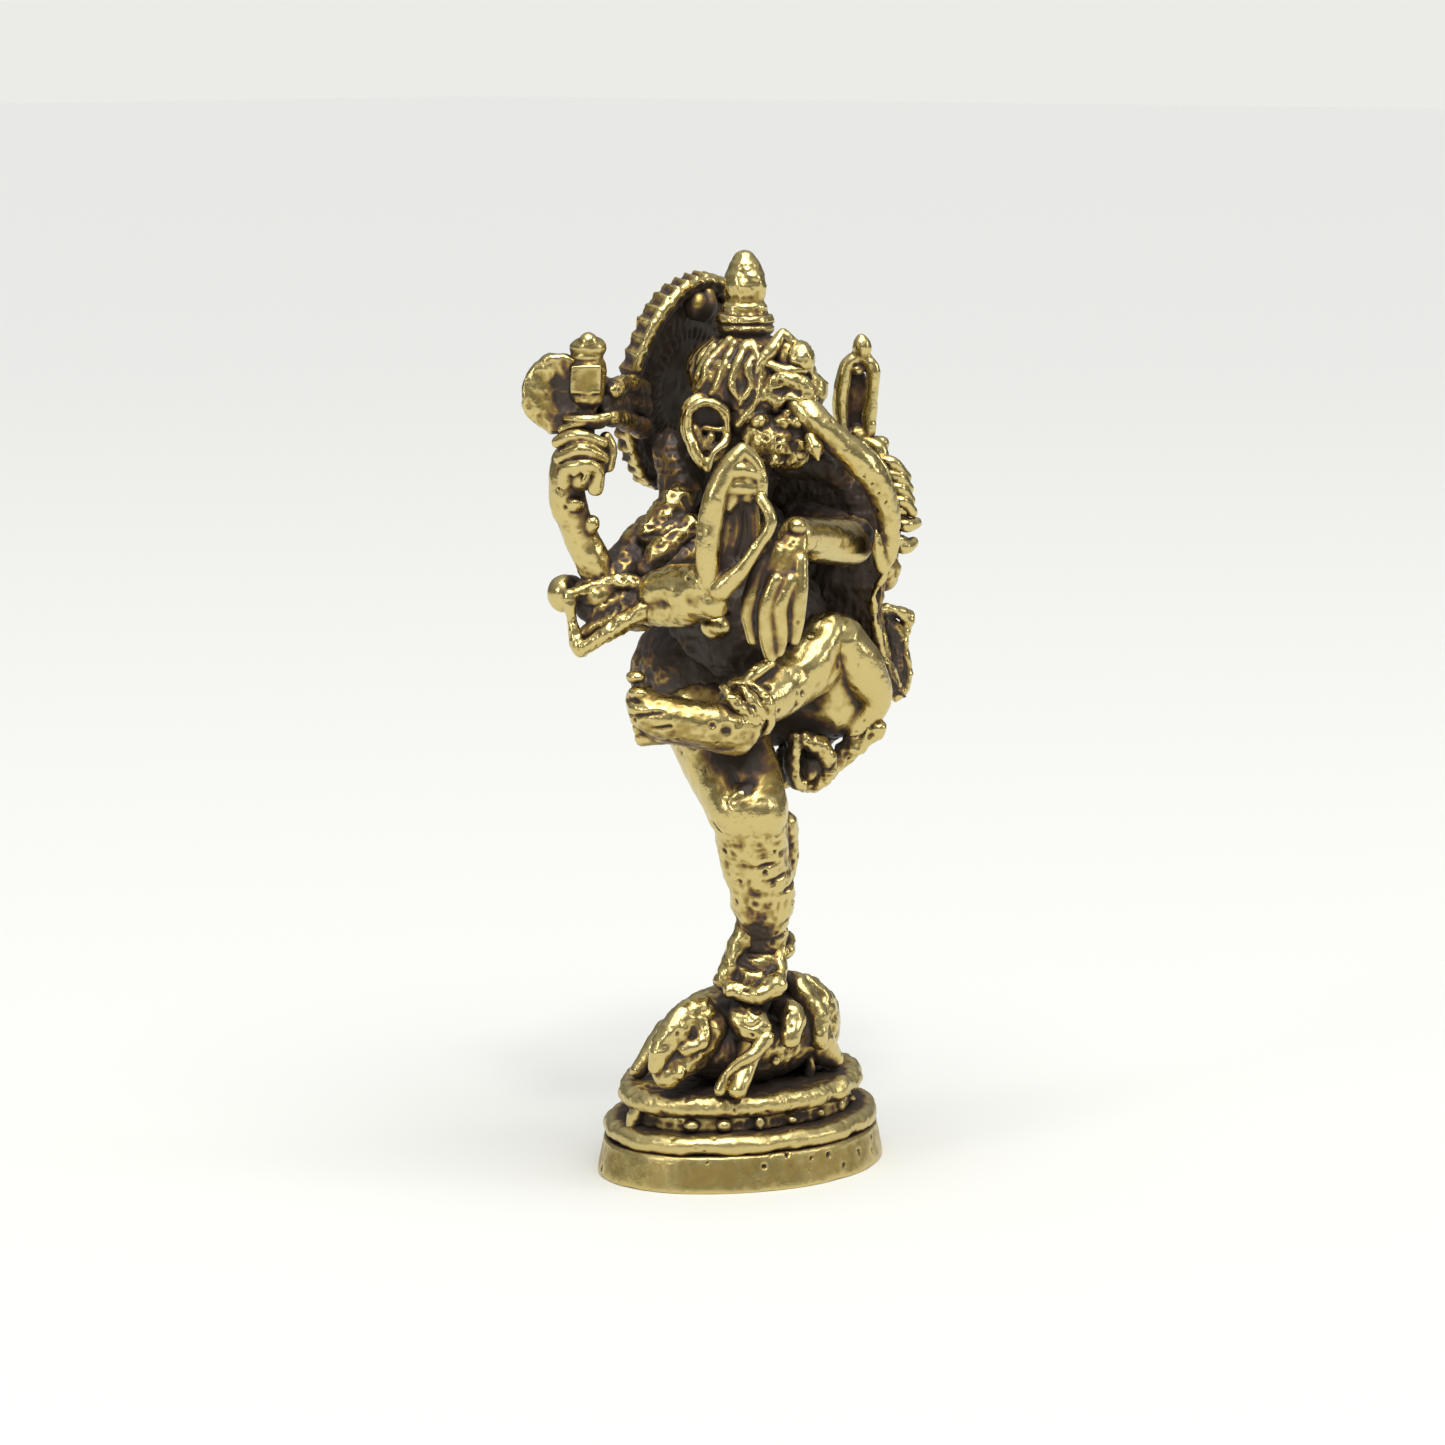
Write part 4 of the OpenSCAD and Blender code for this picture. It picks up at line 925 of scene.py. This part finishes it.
class ModelHeaddress(bpy.types.Operator):
    """Model the hair, the diadem, the crown and the halo with its boss and runs"""
    bl_idname = "casting.headdress"
    bl_label = "Headdress"

    def execute(self, context):
        hair = Wax("hair")
        locks = [
            hair.run((-2.1, -0.8, 1.6, 0.27), (-3.1, -0.4, 0.6, 0.29), (-3.4, -0.2, -0.4, 0.27),
                (-3.6, 0.4, -1.4, 0.2)),
            hair.run((-2.2, -1.2, 1.4, 0.27), (-2.9, -1.2, 0.5, 0.29), (-3.2, -1.1, -0.4, 0.27),
                (-3.5, -0.8, -1.1, 0.18)),
            hair.run((-2, -1.9, 1.4, 0.27), (-2.8, -1.9, 0.4, 0.29), (-3.1, -1.9, -0.6, 0.3), (-2.9,
                -2.2, -1.4, 0.2)),
            hair.run((-1.7, -2.5, 1.2, 0.27), (-2.5, -2.5, 0.3, 0.29), (-2.6, -2.7, -0.6, 0.29),
                (-2.9, -2.3, -1.5, 0.24)),
            hair.run((-1.7, -3.2, 0.2, 0.24), (-2.2, -3.1, -0.3, 0.27), (-2.4, -3.1, -1.1, 0.27),
                (-2.7, -2.6, -2, 0.27), (-2.9, -2.1, -2.6, 0.2)),
            hair.run((-1.8, -2.1, 1.5, 0.24), (-2.1, -2.9, 0.7, 0.27), (-2.1, -3.2, -0.1, 0.24)),
            hair.run((-2.4, 0, 1.2, 0.27), (-2.9, 0.3, 0.1, 0.27), (-3.2, 0.6, -1, 0.2)),
        ]
        for lock in locks:
            hair.strand(lock)
            hair.strand(backing(lock, mid("head"), 0.85))
        for k in range(9):
            a = math.radians(15 + 20 * k)
            low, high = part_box("hair")
            c, h = (low + high) / 2 / MM, (high - low) / 2 / MM
            points = [c + Vector((h.x * 1.0 * math.cos(a + 0.12 * j) * s,
                                  h.y * math.sin(a + 0.12 * j) * s, h.z * t)) for j,
                      (s, t) in enumerate(((0.55, 0.8), (0.85, 0.45), (0.97, 0.0), (0.9, -0.5)))]
            hair.strand([(*p, 0.29) for p in points])
        cast(hair, smooth=2, wave=1.5, pit=0.6, bias=-0.22, voxel=FINE_WAX)
        diadem = Wax("diadem", bare=True)
        diadem.ring(diadem.at(0, 0, -0.7), (0, -0.14, 1), 2.75, 0.42)
        diadem.strand(diadem.run((-0.6, -2.4, 0.8, 0.3), (-0.6, -2.7, 0.2, 0.6),
                                 (-0.5, -2.9, -0.7, 0.8)))
        diadem.strand(diadem.run((-2.4, -2, -1.3, 0.2), (-2.1, -2.2, -0.5, 0.26),
                                 (-1.6, -2.6, 0.2, 0.3), (-0.9, -2.7, 1.1, 0.24)))
        diadem.strand(diadem.run((-0.9, -2.7, 1.1, 0.24), (-0.4, -3.2, 0.3, 0.3),
                                 (0, -3.5, -0.6, 0.28), (0.2, -3.7, -1.2, 0.22)))
        diadem.strand(diadem.run((-1.8, -2.6, -0.5, 0.24), (-1.4, -3.3, -0.8, 0.3),
                                 (-0.7, -3.9, -0.8, 0.26)))
        diadem.mark(diadem.run((-1.4, -3.2, 0.4), (-1.6, -3.3, -0.1)), 0.18, 0.35)
        for place in ((-2.2, -2.6, 0), (-2, -2.9, -0.2), (-1.3, -3.7, 0), (-1, -4, -0.4),
                      (-1.9, -3, -1.1)):
            diadem.mark(diadem.run(place), 0.1, 0.14)
        cast(diadem, smooth=2, wave=1.5, pit=0.6, bias=-0.12, voxel=FINEST_WAX)
        crown = Wax("crown")
        crown.egg(crown.at(-0.9, -0.2, -0.5), (0.5, 0.5, 0.3))
        crown.mark(ring_of(crown.at(0, 0, -0.3), crown.at(0, 0, 0.7), 0.0, 1.3), 0.09, 0.14)
        crown.mark(ring_of(crown.at(0, 0, -0.9), crown.at(0, 0, 0.7), 0.0, 1.45), 0.09, 0.14)
        crown.mark(crown.run((-1.6, -0.3, 2.7), (-1.7, -0.1, 1.4)), 0.3, 0.04)
        cast(crown, smooth=9, wave=1.7, pit=0.5, bias=-0.06, voxel=FINEST_WAX)
        halo = Wax("halo")
        teeth = 34
        low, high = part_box("halo")
        half_wide, half_tall = (high.x - low.x) / 2 / MM, (high.z - low.z) / 2 / MM
        lean = Matrix.Translation(mid("halo")) @ Matrix.Rotation(math.radians(102), 4, "X")
        halo.stain_and_shade([tuple(lean @ Vector((half_wide * 0.97 * math.cos(t),
                                         half_tall * 0.97 * math.sin(t),
                                         0.5))) for t in np.linspace(0, math.tau, 41)], 0.55, -0.72)
        for k in range(teeth):
            a, b = math.tau * k / teeth, math.tau * (k + 1) / teeth
            halo.rod(lean @ Vector((half_wide * 0.94 * math.cos(a), half_tall * 0.94 * math.sin(a),
                                    0.45)), lean @ Vector((half_wide * 0.94 * math.cos(b),
                half_tall * 0.94 * math.sin(b), 0.45)), 0.26, 0.26)
            halo.rod(lean @ Vector((half_wide * 0.93 * math.cos(a), half_tall * 0.93 * math.sin(a),
                                    0.6)), lean @ Vector((half_wide * 0.82 * math.cos(a),
                half_tall * 0.82 * math.sin(a), 0.35)), 0.19, 0.13)
            for ring, size in ((0.68, 0.1), (0.5, 0.09)):
                halo.rod(lean @ Vector((half_wide * ring * math.cos(a),
                                        half_tall * ring * math.sin(a), 0.12)),
                         lean @ Vector((half_wide * (ring - 0.08) * math.cos(a),
                                        half_tall * (ring - 0.08) * math.sin(a), 0.12)), size, size)
        cast(halo, smooth=2, wave=1.3, pit=0.8, bias=-0.75, voxel=FINE_WAX)
        boss = Wax("halo_boss")
        boss.strand(boss.run((0.6, -0.1, 0.6, 0.42), (0.4, -0.2, -0.1, 0.55),
                             (0.2, -0.1, -0.6, 0.35)))
        cast(boss, wave=0.8, pit=0.3, bias=-0.2, voxel=FINEST_WAX)
        web = Wax("halo_bridge")
        web.strand(web.run((-1.4, -2, 0.7, 0.45), (0.6, -0.9, 0.8, 0.5), (2.8, 0, 0.4, 0.5)))
        web.strand(web.run((-1.5, -1.9, -0.6, 0.45), (0.5, -1.1, -1, 0.5), (2.7, -0.2, -1.6, 0.5)))
        web.strand(web.run((-1.6, -1.5, 0.1, 0.5), (0.8, -0.6, -0.1, 0.55), (3, 0, -0.4, 0.55)))
        web.egg(web.at(0.3, -1.2, 1.1), (0.26, 0.26, 0.3))
        web.egg(web.at(1.7, -0.5, 0.9), (0.26, 0.26, 0.3))
        web.egg(web.at(0.1, -1.1, 0.3), (0.26, 0.26, 0.24))
        for k in range(6):
            web.mark(web.run((-1.79 + 0.71 * k, -0.94 + 0.11 * k, 0.68 - 0.05 * k),
                             (-1.79 + 0.71 * k, -0.94 + 0.11 * k, -0.47 - 0.05 * k)), 0.09, 0.2)
        cast(web, smooth=2, wave=2.0, pit=0.9, bias=-0.4, voxel=FINE_WAX)
        return {"FINISHED"}


# ---- Patina: how far a buffing wheel reaches, and painted shade on faces that look down ---------


def spread(full, cells):
    """A box blur of a volume, as a share from 0 to 1, done twice so that it is round."""
    out = full
    for _ in range(2):
        for axis in range(3):
            pad = [(0, 0)] * 3
            pad[axis] = (cells + 1, cells)
            total = np.cumsum(np.pad(out, pad, mode="edge"), axis=axis, dtype=np.float32)
            width = 2 * cells + 1
            high = np.take(total, np.arange(width, total.shape[axis]), axis=axis)
            low = np.take(total, np.arange(total.shape[axis] - width), axis=axis)
            out = (high - low) / width
    return out


def metal_volume(points, cell, low, shape):
    """The cells that hold metal: those on a surface, and those that the air outside can't reach."""
    wall = np.zeros(shape, bool)
    index = np.floor((points - low) / cell).astype(int)
    wall[index[:, 0], index[:, 1], index[:, 2]] = True
    air = np.zeros(shape, bool)
    air[0], air[-1], air[:, 0], air[:, -1], air[:, :, -1] = (True,) * 5
    for _ in range(6):
        for axis in range(3):
            layers = np.moveaxis(air, axis, 0)
            walls = np.moveaxis(wall, axis, 0)
            for k in range(1, len(layers)):
                layers[k] |= layers[k - 1] & ~walls[k]
            for k in range(len(layers) - 2, -1, -1):
                layers[k] |= layers[k + 1] & ~walls[k]
    return (~air).astype(np.float32)


def sample(volume, points, cell, low):
    """The value of a volume at each point, read between its cells."""
    p = np.clip((points - low) / cell - 0.5, 0, np.array(volume.shape) - 1.001)
    k = p.astype(int)
    t = p - k
    out = np.zeros(len(p))
    for corner in np.ndindex(2, 2, 2):
        share = np.prod(np.where(corner, t, 1 - t), axis=1)
        out += share * volume[tuple((k + corner).T)]
    return out


def hollowness(mesh, co, normal, rounds):
    """How far each point lies below the average of its neighbours, in millimetres."""
    edges = np.zeros(len(mesh.edges) * 2, np.int32)
    mesh.edges.foreach_get("vertices", edges)
    a, b = edges.reshape(-1, 2).T
    count = np.maximum(np.bincount(a, minlength=len(co)) + np.bincount(b, minlength=len(co)), 1)
    soft = co.copy()
    for _ in range(rounds):
        soft = np.stack([(np.bincount(a, soft[b, i], len(co)) + np.bincount(b, soft[a, i], len(co))) / count
                         for i in range(3)], axis=1)
    return np.sum((soft - co) * normal, axis=1)


class PaintPatinaAndShade(bpy.types.Operator):
    """Work out where the casting is buffed bright and where the dark patina stays, and paint shade onto
    faces that look down
    """
    bl_idname = "casting.patina"
    bl_label = "Patina"

    def execute(self, context):
        cell = PATINA_CELL
        shapes = {name: array_of(piece.data, "vertices") / MM for name, (piece, _) in CAST.items()}
        everything = np.concatenate(list(shapes.values()))
        low = everything.min(0) - 1.0
        shape = tuple(np.ceil((everything.max(0) + 1.0 - low) / cell).astype(int))
        metal = metal_volume(everything, cell, low, shape)
        near, wide, far = (spread(metal, cells) for cells in (2, 5, 11))
        for name, (piece, bias) in CAST.items():
            co = shapes[name]
            normal = array_of(piece.data, "vertex_normals")
            fine = hollowness(piece.data, co, normal, 8)
            crevice = sample(near, co + normal * 0.5, cell, low)
            recess = sample(wide, co + normal * 1.3, cell, low)
            shade = sample(far, co + normal * 2.6, cell, low)
            wear = (1.02 + bias - 1.5 * np.clip(crevice - 0.12, 0, 1) - 1.6 * np.clip(recess - 0.08, 0, 1)
                    - 1.4 * np.clip(shade - 0.05, 0, 1) - 13.0 * np.clip(fine, -0.03, 0.08))
            # Painted shade: faces that look down lose wear and turn olive, standing in for the dim
            # reflection under them.
            wear -= 0.30 * np.clip(-normal[:, 2], 0, 1)
            wear += 0.10 * waviness(co, 0.8, 5) + 0.08 * waviness(co, 0.3, 6)
            layer = piece.data.attributes.new("wear", "FLOAT", "POINT")
            layer.data.foreach_set("value", np.clip(wear, 0, 1).astype(np.float32))
        return {"FINISHED"}


# ---- Brass ------------------------------------------------------------------------------------


def add_socket(group, name, kind, value=None, out=False):
    made = group.interface.new_socket(name=name, in_out="OUTPUT" if out else "INPUT", socket_type=kind)
    if value is not None:
        made.default_value = value
    return made


def patina_group():
    """Wear and painted shade in, and the colour, roughness and metal share of toned brass out."""
    group = bpy.data.node_groups.new("Brass patina", "ShaderNodeTree")
    add_socket(group, "Wear", "NodeSocketFloat", 1.0)
    for name in ("Black", "Umber", "Olive", "Polished"):
        add_socket(group, name, "NodeSocketColor", (0.5, 0.5, 0.5, 1))
    add_socket(group, "Polish", "NodeSocketFloat", 0.24)
    for name, kind in (("Color", "NodeSocketColor"), ("Roughness", "NodeSocketFloat"),
                       ("Metallic", "NodeSocketFloat"), ("Grain", "NodeSocketFloat")):
        add_socket(group, name, kind, out=True)
    nodes, links = group.nodes, group.links
    take, give = nodes.new("NodeGroupInput"), nodes.new("NodeGroupOutput")
    place = nodes.new("ShaderNodeTexCoord")

    def noise(scale, detail):
        made = nodes.new("ShaderNodeTexNoise")
        made.inputs["Scale"].default_value = scale
        made.inputs["Detail"].default_value = detail
        links.new(place.outputs["Object"], made.inputs["Vector"])
        return made.outputs["Fac"]

    def math_node(kind, a, b):
        made = nodes.new("ShaderNodeMath")
        made.operation = kind
        for socket, value in zip(made.inputs, (a, b)):
            if isinstance(value, (int, float)):
                socket.default_value = value
            else:
                links.new(value, socket)
        return made.outputs[0]

    def ramp(value, a, b, c=0.0, d=1.0):
        made = nodes.new("ShaderNodeMapRange")
        made.interpolation_type = "SMOOTHSTEP"
        links.new(value, made.inputs["Value"])
        for name, number in (("From Min", a), ("From Max", b), ("To Min", c), ("To Max", d)):
            made.inputs[name].default_value = number
        return made.outputs[0]

    def blend(share, a, b):
        made = nodes.new("ShaderNodeMix")
        made.data_type = "RGBA"
        for value, socket in ((share, made.inputs[0]), (a, made.inputs[6]), (b, made.inputs[7])):
            links.new(value, socket)
        return made.outputs[2]

    blotch = math_node("MULTIPLY", math_node("SUBTRACT", noise(900, 4), 0.5), 0.5)
    fine = math_node("MULTIPLY", math_node("SUBTRACT", noise(4200, 3), 0.5), 0.22)
    wear = math_node("ADD", math_node("ADD", take.outputs["Wear"], blotch), fine)
    colour = blend(ramp(wear, 0.06, 0.34), take.outputs["Black"], take.outputs["Umber"])
    colour = blend(ramp(wear, 0.28, 0.54), colour, take.outputs["Olive"])
    colour = blend(ramp(wear, 0.50, 0.96), colour, take.outputs["Polished"])
    links.new(colour, give.inputs["Color"])
    dull = ramp(wear, 0.25, 0.8, 0.26, 0.0)
    rough = math_node("ADD", take.outputs["Polish"], dull)
    rough = math_node("ADD", rough, math_node("MULTIPLY", math_node("SUBTRACT", noise(2500, 3), 0.5), 0.16))
    links.new(rough, give.inputs["Roughness"])
    links.new(ramp(wear, 0.25, 0.5, 0.25, 1.0), give.inputs["Metallic"])
    fine = math_node("MULTIPLY", noise(7000, 2), 0.4)
    links.new(math_node("ADD", noise(1800, 5), fine), give.inputs["Grain"])
    return group


def brass(name, group, polish, bump):
    """One casting finish, with its own polish and grain."""
    material = bpy.data.materials.new(name)
    material.use_nodes = True
    nodes, links = material.node_tree.nodes, material.node_tree.links
    shader = nodes["Principled BSDF"]
    # Reads the per-point wear, which also carries the painted shade: undersides, belly, chest and the shadow
    # on the standing thigh.
    worn_and_shaded = nodes.new("ShaderNodeAttribute")
    worn_and_shaded.attribute_name = "wear"
    patina = nodes.new("ShaderNodeGroup")
    patina.node_tree = group
    own = finish_colours()
    colours = {"Black": own.black, "Umber": own.umber, "Olive": own.worn_and_shaded, "Polished": own.polished}
    for socket, colour in colours.items():
        patina.inputs[socket].default_value = (*colour, 1)
    patina.inputs["Polish"].default_value = polish
    links.new(worn_and_shaded.outputs["Fac"], patina.inputs["Wear"])
    links.new(patina.outputs["Color"], shader.inputs["Base Color"])
    links.new(patina.outputs["Roughness"], shader.inputs["Roughness"])
    links.new(patina.outputs["Metallic"], shader.inputs["Metallic"])
    grain = nodes.new("ShaderNodeBump")
    grain.inputs["Strength"].default_value = bump
    grain.inputs["Distance"].default_value = 0.00006
    links.new(patina.outputs["Grain"], grain.inputs["Height"])
    links.new(grain.outputs["Normal"], shader.inputs["Normal"])
    return material


class ApplyBrass(bpy.types.Operator):
    """Give each piece its brass"""
    bl_idname = "casting.brass"
    bl_label = "Brass"

    def execute(self, context):
        group = patina_group()
        figure = brass("figure_brass", group, polish=0.25, bump=0.4)
        plinth = brass("plinth_brass", group, polish=0.34, bump=0.5)
        for name, (piece, _) in CAST.items():
            on_plinth = name in PLINTH_NODES
            piece.data.materials.append(plinth if on_plinth else figure)
        return {"FINISHED"}


# ---- Stage ------------------------------------------------------------------------------------


def soft_light(name, place, target, size, power, tint=(1, 1, 1)):
    lamp = bpy.data.lights.new(name, "AREA")
    lamp.shape = "DISK"
    lamp.size = size
    lamp.energy = power
    lamp.color = tint
    light = bpy.data.objects.new(name, lamp)
    light.location = place
    light.rotation_euler = (Vector(target) - Vector(place)).to_track_quat("-Z", "Y").to_euler()
    bpy.context.scene.collection.objects.link(light)


def ceiling_light(strength, spread, tilt):
    """A wide, far light that lights the whole floor alike."""
    lamp = bpy.data.lights.new("ceiling", "SUN")
    lamp.energy = strength
    lamp.angle = math.radians(spread)
    light = bpy.data.objects.new("ceiling", lamp)
    light.rotation_euler = [math.radians(a) for a in tilt]
    bpy.context.scene.collection.objects.link(light)


def paper(toward_camera):
    """Pale paper with painted shade: a little greyer further behind the object, away from the camera."""
    material = bpy.data.materials.new("paper")
    material.use_nodes = True
    nodes, links = material.node_tree.nodes, material.node_tree.links
    shader = nodes["Principled BSDF"]
    shader.inputs["Roughness"].default_value = 0.9
    shader.inputs["Specular IOR Level"].default_value = 0.1
    place = nodes.new("ShaderNodeTexCoord")
    along = nodes.new("ShaderNodeVectorMath")
    along.operation = "DOT_PRODUCT"
    links.new(place.outputs["Object"], along.inputs[0])
    along.inputs[1].default_value = (-toward_camera.x, -toward_camera.y, 0)
    share = nodes.new("ShaderNodeMapRange")
    share.interpolation_type = "SMOOTHSTEP"
    links.new(along.outputs["Value"], share.inputs["Value"])
    share.inputs["From Min"].default_value = 0.08
    share.inputs["From Max"].default_value = 0.62
    # Painted shade: the paper darkens from 0.08 m to 0.62 m behind the object.
    shade = nodes.new("ShaderNodeMix")
    shade.data_type = "RGBA"
    links.new(share.outputs[0], shade.inputs[0])
    shade.inputs[6].default_value = (0.71, 0.714, 0.677, 1)
    shade.inputs[7].default_value = (0.68, 0.682, 0.654, 1)
    links.new(shade.outputs[2], shader.inputs["Base Color"])
    return material


def studio_world():
    """A pale wall to the eye, and a dim room round the camera for the metal to mirror."""
    world = bpy.data.worlds.new("studio")
    world.use_nodes = True
    nodes, links = world.node_tree.nodes, world.node_tree.links
    seen = nodes["Background"]
    seen.inputs["Color"].default_value = (0.835, 0.838, 0.80, 1)
    room = nodes.new("ShaderNodeBackground")
    place = nodes.new("ShaderNodeTexCoord")
    parts = nodes.new("ShaderNodeSeparateXYZ")
    links.new(place.outputs["Generated"], parts.inputs[0])
    height = nodes.new("ShaderNodeValToRGB")
    links.new(parts.outputs["Z"], height.inputs["Fac"])
    height.color_ramp.elements[0].position = 0.02
    height.color_ramp.elements[0].color = (0.10, 0.095, 0.08, 1)
    height.color_ramp.elements[1].position = 0.9
    height.color_ramp.elements[1].color = (0.62, 0.63, 0.65, 1)
    links.new(height.outputs["Color"], room.inputs["Color"])
    path = nodes.new("ShaderNodeLightPath")
    mix = nodes.new("ShaderNodeMixShader")
    links.new(path.outputs["Is Camera Ray"], mix.inputs[0])
    links.new(room.outputs[0], mix.inputs[1])
    links.new(seen.outputs[0], mix.inputs[2])
    links.new(mix.outputs[0], nodes["World Output"].inputs["Surface"])
    bpy.context.scene.world = world


class BuildStage(bpy.types.Operator):
    """Set the pale floor, the soft lights and the camera"""
    bl_idname = "casting.stage"
    bl_label = "Stage"

    def execute(self, context):
        tall = CAD_BOX[1].z - CAD_BOX[0].z
        azimuth, elevation = math.radians(VIEW_AZIMUTH), math.radians(VIEW_ELEVATION)
        facing = Vector((math.sin(azimuth), -math.cos(azimuth), 0))
        mesh = bpy.data.meshes.new("floor")
        bm = bmesh.new()
        bmesh.ops.create_grid(bm, x_segments=1, y_segments=1, size=60 * tall)
        bm.to_mesh(mesh)
        bm.free()
        floor = bpy.data.objects.new("floor", mesh)
        bpy.context.scene.collection.objects.link(floor)
        mesh.materials.append(paper(facing))
        middle = (0, 0, tall / 2)
        ceiling_light(2.5, 60, (18, -12, 0))
        soft_light("key", (-4.0 * tall, -4.2 * tall, 8 * tall), middle, 1.2 * tall, 0.4, (1, 0.98, 0.95))
        soft_light("left", (-8.0 * tall, 0.6 * tall, 3.5 * tall), middle, 2.0 * tall, 0.2)
        soft_light("right", (4.5 * tall, -7.0 * tall, 3.5 * tall), middle, 2.2 * tall, 0.2)
        studio_world()
        target = Vector(VIEW_TARGET)
        back = facing * math.cos(elevation) + Vector((0, 0, math.sin(elevation)))
        camera = bpy.data.objects.new("camera", bpy.data.cameras.new("camera"))
        bpy.context.scene.collection.objects.link(camera)
        camera.location = target + back * VIEW_DISTANCE
        camera.rotation_euler = (-back).to_track_quat("-Z", "Y").to_euler()
        camera.data.lens = VIEW_LENS
        camera.data.clip_start = 0.01
        bpy.context.scene.camera = camera
        bpy.context.scene.view_settings.view_transform = "Standard"
        return {"FINISHED"}


# ---- Add-on -----------------------------------------------------------------------------------


STEPS = (
    ModelPlinth, ModelMouse, ModelStandingLeg, ModelRaisedLeg, ModelBody, ModelScarf, ModelArms,
    ModelHands, ModelHeldThings, ModelHead, ModelHeaddress, PaintPatinaAndShade, ApplyBrass, BuildStage,
)


class CastingPanel(bpy.types.Panel):
    """Lists the steps that build the casting"""
    bl_idname = "VIEW3D_PT_casting"
    bl_label = "Dancing Ganesha"
    bl_space_type = "VIEW_3D"
    bl_region_type = "UI"
    bl_category = "Casting"

    def draw(self, context):
        for step in STEPS:
            self.layout.operator(step.bl_idname)
        for group in (context.scene.casting_sizes, context.scene.brass_finish):
            for name in group.__annotations__:
                self.layout.prop(group, name)


CLASSES = (CastingSizes, BrassFinish, *STEPS, CastingPanel)


def register():
    for item in CLASSES:
        bpy.utils.register_class(item)
    bpy.types.Scene.casting_sizes = bpy.props.PointerProperty(type=CastingSizes)
    bpy.types.Scene.brass_finish = bpy.props.PointerProperty(type=BrassFinish)


def unregister():
    del bpy.types.Scene.brass_finish
    del bpy.types.Scene.casting_sizes
    for item in reversed(CLASSES):
        bpy.utils.unregister_class(item)


def main():
    register()
    for step in STEPS:
        family, name = step.bl_idname.split(".")
        getattr(getattr(bpy.ops, family), name)()


if __name__ == "__main__":
    main()
